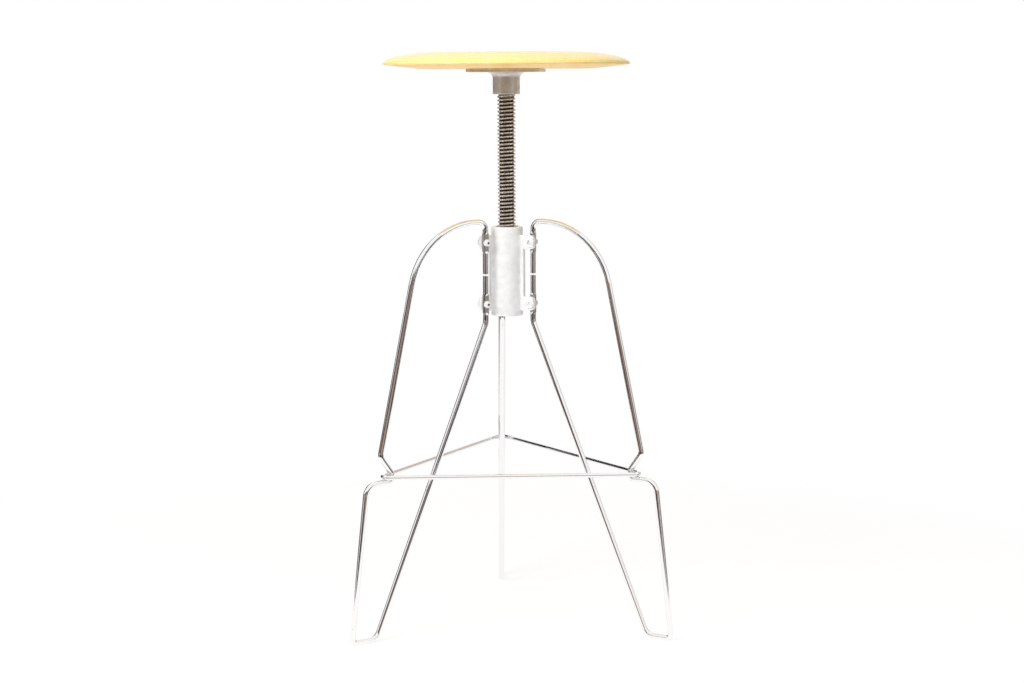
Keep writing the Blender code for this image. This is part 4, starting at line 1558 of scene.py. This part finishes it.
@dataclass
class Studio:
    """The camera, the soft light and the pale floor."""

    distance: float = 2.7661
    height: float = 0.7684
    azimuth: float = math.radians(1.033)
    pan: float = math.radians(-0.179)
    pitch: float = math.radians(7.536)
    roll: float = math.radians(-0.201)
    focal_pixels: float = 1992.1
    offset_pixels: tuple[float, float] = (1.46, -2.34)
    image_width: int = 1024
    sensor: float = 36.0
    lamps: tuple[SoftBox, ...] = (
        SoftBox("left_box", (-2.12, -2.05, 2.25), (0.0, 0.0, 0.55), 2.0, 97.0),
        SoftBox("right_box", (2.28, -1.72, 2.40), (0.0, 0.0, 0.55), 2.0, 18.0),
        SoftBox("top_box", (0.30, -0.90, 3.00), (0.0, 0.0, 0.80), 1.6, 17.0),
    )
    floor_radius: float = 1.7
    floor_steps: int = 96
    shadow_radius: tuple[float, float] = (0.55, 1.25)
    sheet_radius: tuple[float, float] = (0.78, 1.02)  # mirrors see the room beyond it
    world_light: tuple[float, float] = (0.40, 0.22)  # from the left and from the right
    paper_glow: float = 0.38  # stands in for the bounce of a wider sheet
    paper: str = "#E6E6E6"
    shadow_tint: str = "#8C8984"
    shadow_floor: float = 0.80  # how white the deepest shadow is
    white: str = "#FFFFFF"
    room: tuple[RoomPatch, ...] = (
        RoomPatch(2, 100, -26, 8, "#33251F"),
        RoomPatch(-4, 50, -42, 8, "#33251F"),
        RoomPatch(-32, 32, 2, 22, "#564A4C"),
        RoomPatch(20, 26, 2, 10, "#6E6264"),
        RoomPatch(-6, 14, -5, 8, "#AF9780"),
        RoomPatch(24, 6, -12, 0, "#D8CFCB"),
        RoomPatch(-58, 9, -30, 70, "#FFFFFF"),
        RoomPatch(58, 9, -30, 70, "#FFFFFF"),
        RoomPatch(-58, 14, 6, 13, "#5C483C", 1.5),
        RoomPatch(58, 14, -13, -6, "#5C483C", 1.5),
        RoomPatch(-58, 14, -13, -6, "#7A6455", 1.5),
        RoomPatch(130, 25, -18, 46, "#CFC0B8"),
        RoomPatch(-116, 12, -19, 46, "#22160F"),
        RoomPatch(-142, 14, -8, 46, "#22160F"),
    )

    def place_camera(self) -> None:
        """Places the camera where the photograph was taken from."""
        data = bpy.data.cameras.new("photo_camera")
        data.sensor_width = self.sensor
        data.lens = self.focal_pixels / self.image_width * self.sensor
        data.shift_x = -self.offset_pixels[0] / self.image_width
        data.shift_y = self.offset_pixels[1] / self.image_width
        camera = put("photo_camera", data)
        turn = Matrix.Rotation(self.pan - self.azimuth, 4, "Z")
        tilt = Matrix.Rotation(math.pi / 2 - self.pitch, 4, "X") @ Matrix.Rotation(self.roll, 4, "Z")
        spot = Vector((-math.sin(self.azimuth), -math.cos(self.azimuth), 0)) * self.distance
        camera.matrix_world = Matrix.Translation(spot + Vector((0, 0, self.height))) @ turn @ tilt
        bpy.context.scene.camera = camera

    def place_lamps(self) -> None:
        """Hangs a large soft box to the left of the camera, and weaker ones to the right and above."""
        for box in self.lamps:
            data = bpy.data.lights.new(box.name, "AREA")
            data.shape = "SQUARE"
            data.size = box.side
            data.energy = box.power
            lamp = put(box.name, data)
            lamp.visible_glossy = False  # mirrors see the white areas of the world instead
            aim = (Vector(box.spot) - Vector(box.target)).to_track_quat("Z", "Y").to_matrix().to_4x4()
            lamp.matrix_world = Matrix.Translation(box.spot) @ aim

    def seen_directly(self, tree: NodeTree) -> NodeSocket:
        """Tells rays that show from rays that light.

        Args:
            tree: The node tree of a material or of the world.

        Returns:
            1 for rays from the camera, and for mirrored and refracted ones, else 0.
        """
        path = add_node(tree, "LightPath").outputs
        seen = path["Is Camera Ray"]
        for ray in ("Is Glossy Ray", "Is Transmission Ray"):
            seen = add_node(tree, "Math", [seen, path[ray]], operation="MAXIMUM").outputs[0]
        return seen

    def light_world(self) -> None:
        """Surrounds the stool with white, with a dim room about it that only mirrors show."""
        world = bpy.data.worlds.new("white_studio")
        bpy.context.scene.world = world
        world.use_nodes = True
        tree = world.node_tree
        direction = add_node(tree, "TexCoord").outputs["Generated"]
        way = add_node(tree, "SeparateXYZ", [direction]).outputs
        level_way = add_node(tree, "VectorMath", [direction, LEVEL], operation="MULTIPLY")
        horizon = add_node(tree, "VectorMath", [level_way], operation="NORMALIZE")
        is_mirrored = add_node(tree, "LightPath").outputs["Is Glossy Ray"]
        colour: Any = linear(self.white)
        for patch in self.room:
            side = math.radians(patch.azimuth)
            middle = math.sin(side), -math.cos(side), 0.0
            toward = add_node(tree, "VectorMath", [horizon, middle], operation="DOT_PRODUCT").outputs["Value"]
            share: Any = is_mirrored
            for value, edges in zip((toward, way["Z"], way["Z"]), patch.edges()):
                inside = add_node(tree, "MapRange", [value, *edges], interpolation_type="SMOOTHSTEP")
                share = add_node(tree, "Math", [share, inside], operation="MULTIPLY")
            colour = add_node(
                tree, "Mix", {0: share, 6: colour, 7: linear(patch.colour)}, data_type="RGBA").outputs[2]
        soft_light = add_node(tree, "MapRange", [way["X"], -1.0, 1.0, *self.world_light])
        level = add_node(tree, "Mix", {0: self.seen_directly(tree), 2: soft_light, 3: 1.0})
        feed(tree, tree.nodes["Background"], {"Color": colour, "Strength": level})

    def paint_floor(self) -> Material:
        """White paper that keeps the stool's shadow and fades out to plain white.

        Returns:
            The floor's material.
        """
        material = bpy.data.materials.new("white_paper_sweep")
        material.use_nodes = True
        tree = material.node_tree
        tree.nodes.remove(tree.nodes["Principled BSDF"])
        place = add_node(tree, "TexCoord").outputs["Object"]
        far = add_node(tree, "VectorMath", [place], operation="LENGTH").outputs["Value"]
        fade, off_sheet = (
            add_node(tree, "MapRange", [far, *edges], interpolation_type="SMOOTHSTEP")
            for edges in (self.shadow_radius, self.sheet_radius))
        lit, shadowed = (
            add_node(tree, "AddShader", [
                add_node(tree, "BsdfDiffuse", {"Color": linear(colour)}),
                add_node(tree, "Emission", {"Color": linear(self.white), "Strength": glow}),
            ])
            for colour, glow in ((self.paper, self.paper_glow), (self.shadow_tint, self.shadow_floor)))
        plain = add_node(tree, "Emission", {"Color": linear(self.white), "Strength": 1.0})
        clear = add_node(tree, "BsdfTransparent")
        is_mirrored = add_node(tree, "LightPath").outputs["Is Glossy Ray"]
        unseen = add_node(tree, "Math", [off_sheet, is_mirrored], operation="MULTIPLY")
        surface = shadowed
        for share, other in ((fade, plain), (unseen, clear)):
            surface = add_node(tree, "MixShader", [share, surface, other])
        surface = add_node(tree, "MixShader", [self.seen_directly(tree), lit, surface])
        feed(tree, tree.nodes["Material Output"], {"Surface": surface})
        return material

    def lay_floor(self) -> None:
        """Lays the round sheet of paper that the stool stands on."""
        bm = bmesh.new()
        bmesh.ops.create_circle(bm, cap_ends=True, segments=self.floor_steps, radius=self.floor_radius)
        mesh = as_mesh("paper_floor", bm)
        mesh.materials.append(self.paint_floor())
        floor = put("paper_floor", mesh)

    def set_up(self) -> None:
        """Sets up the whole studio."""
        bpy.context.scene.view_settings.view_transform = "Standard"
        self.place_camera()
        self.place_lamps()
        self.light_world()
        self.lay_floor()


def main() -> None:
    """Builds the stool from the floor up, then the studio round it."""
    logging.basicConfig(level=logging.INFO, format="%(message)s")
    hub = HubCasting()
    legs = LegRods(hub)
    flange = SeatFlange()
    legs.dress()
    Footrest(legs).dress()
    hub.dress()
    LeadScrew().dress()
    flange.dress()
    Seat().dress(flange.screw_holes())
    Studio().set_up()


if __name__ == "__main__":
    main()
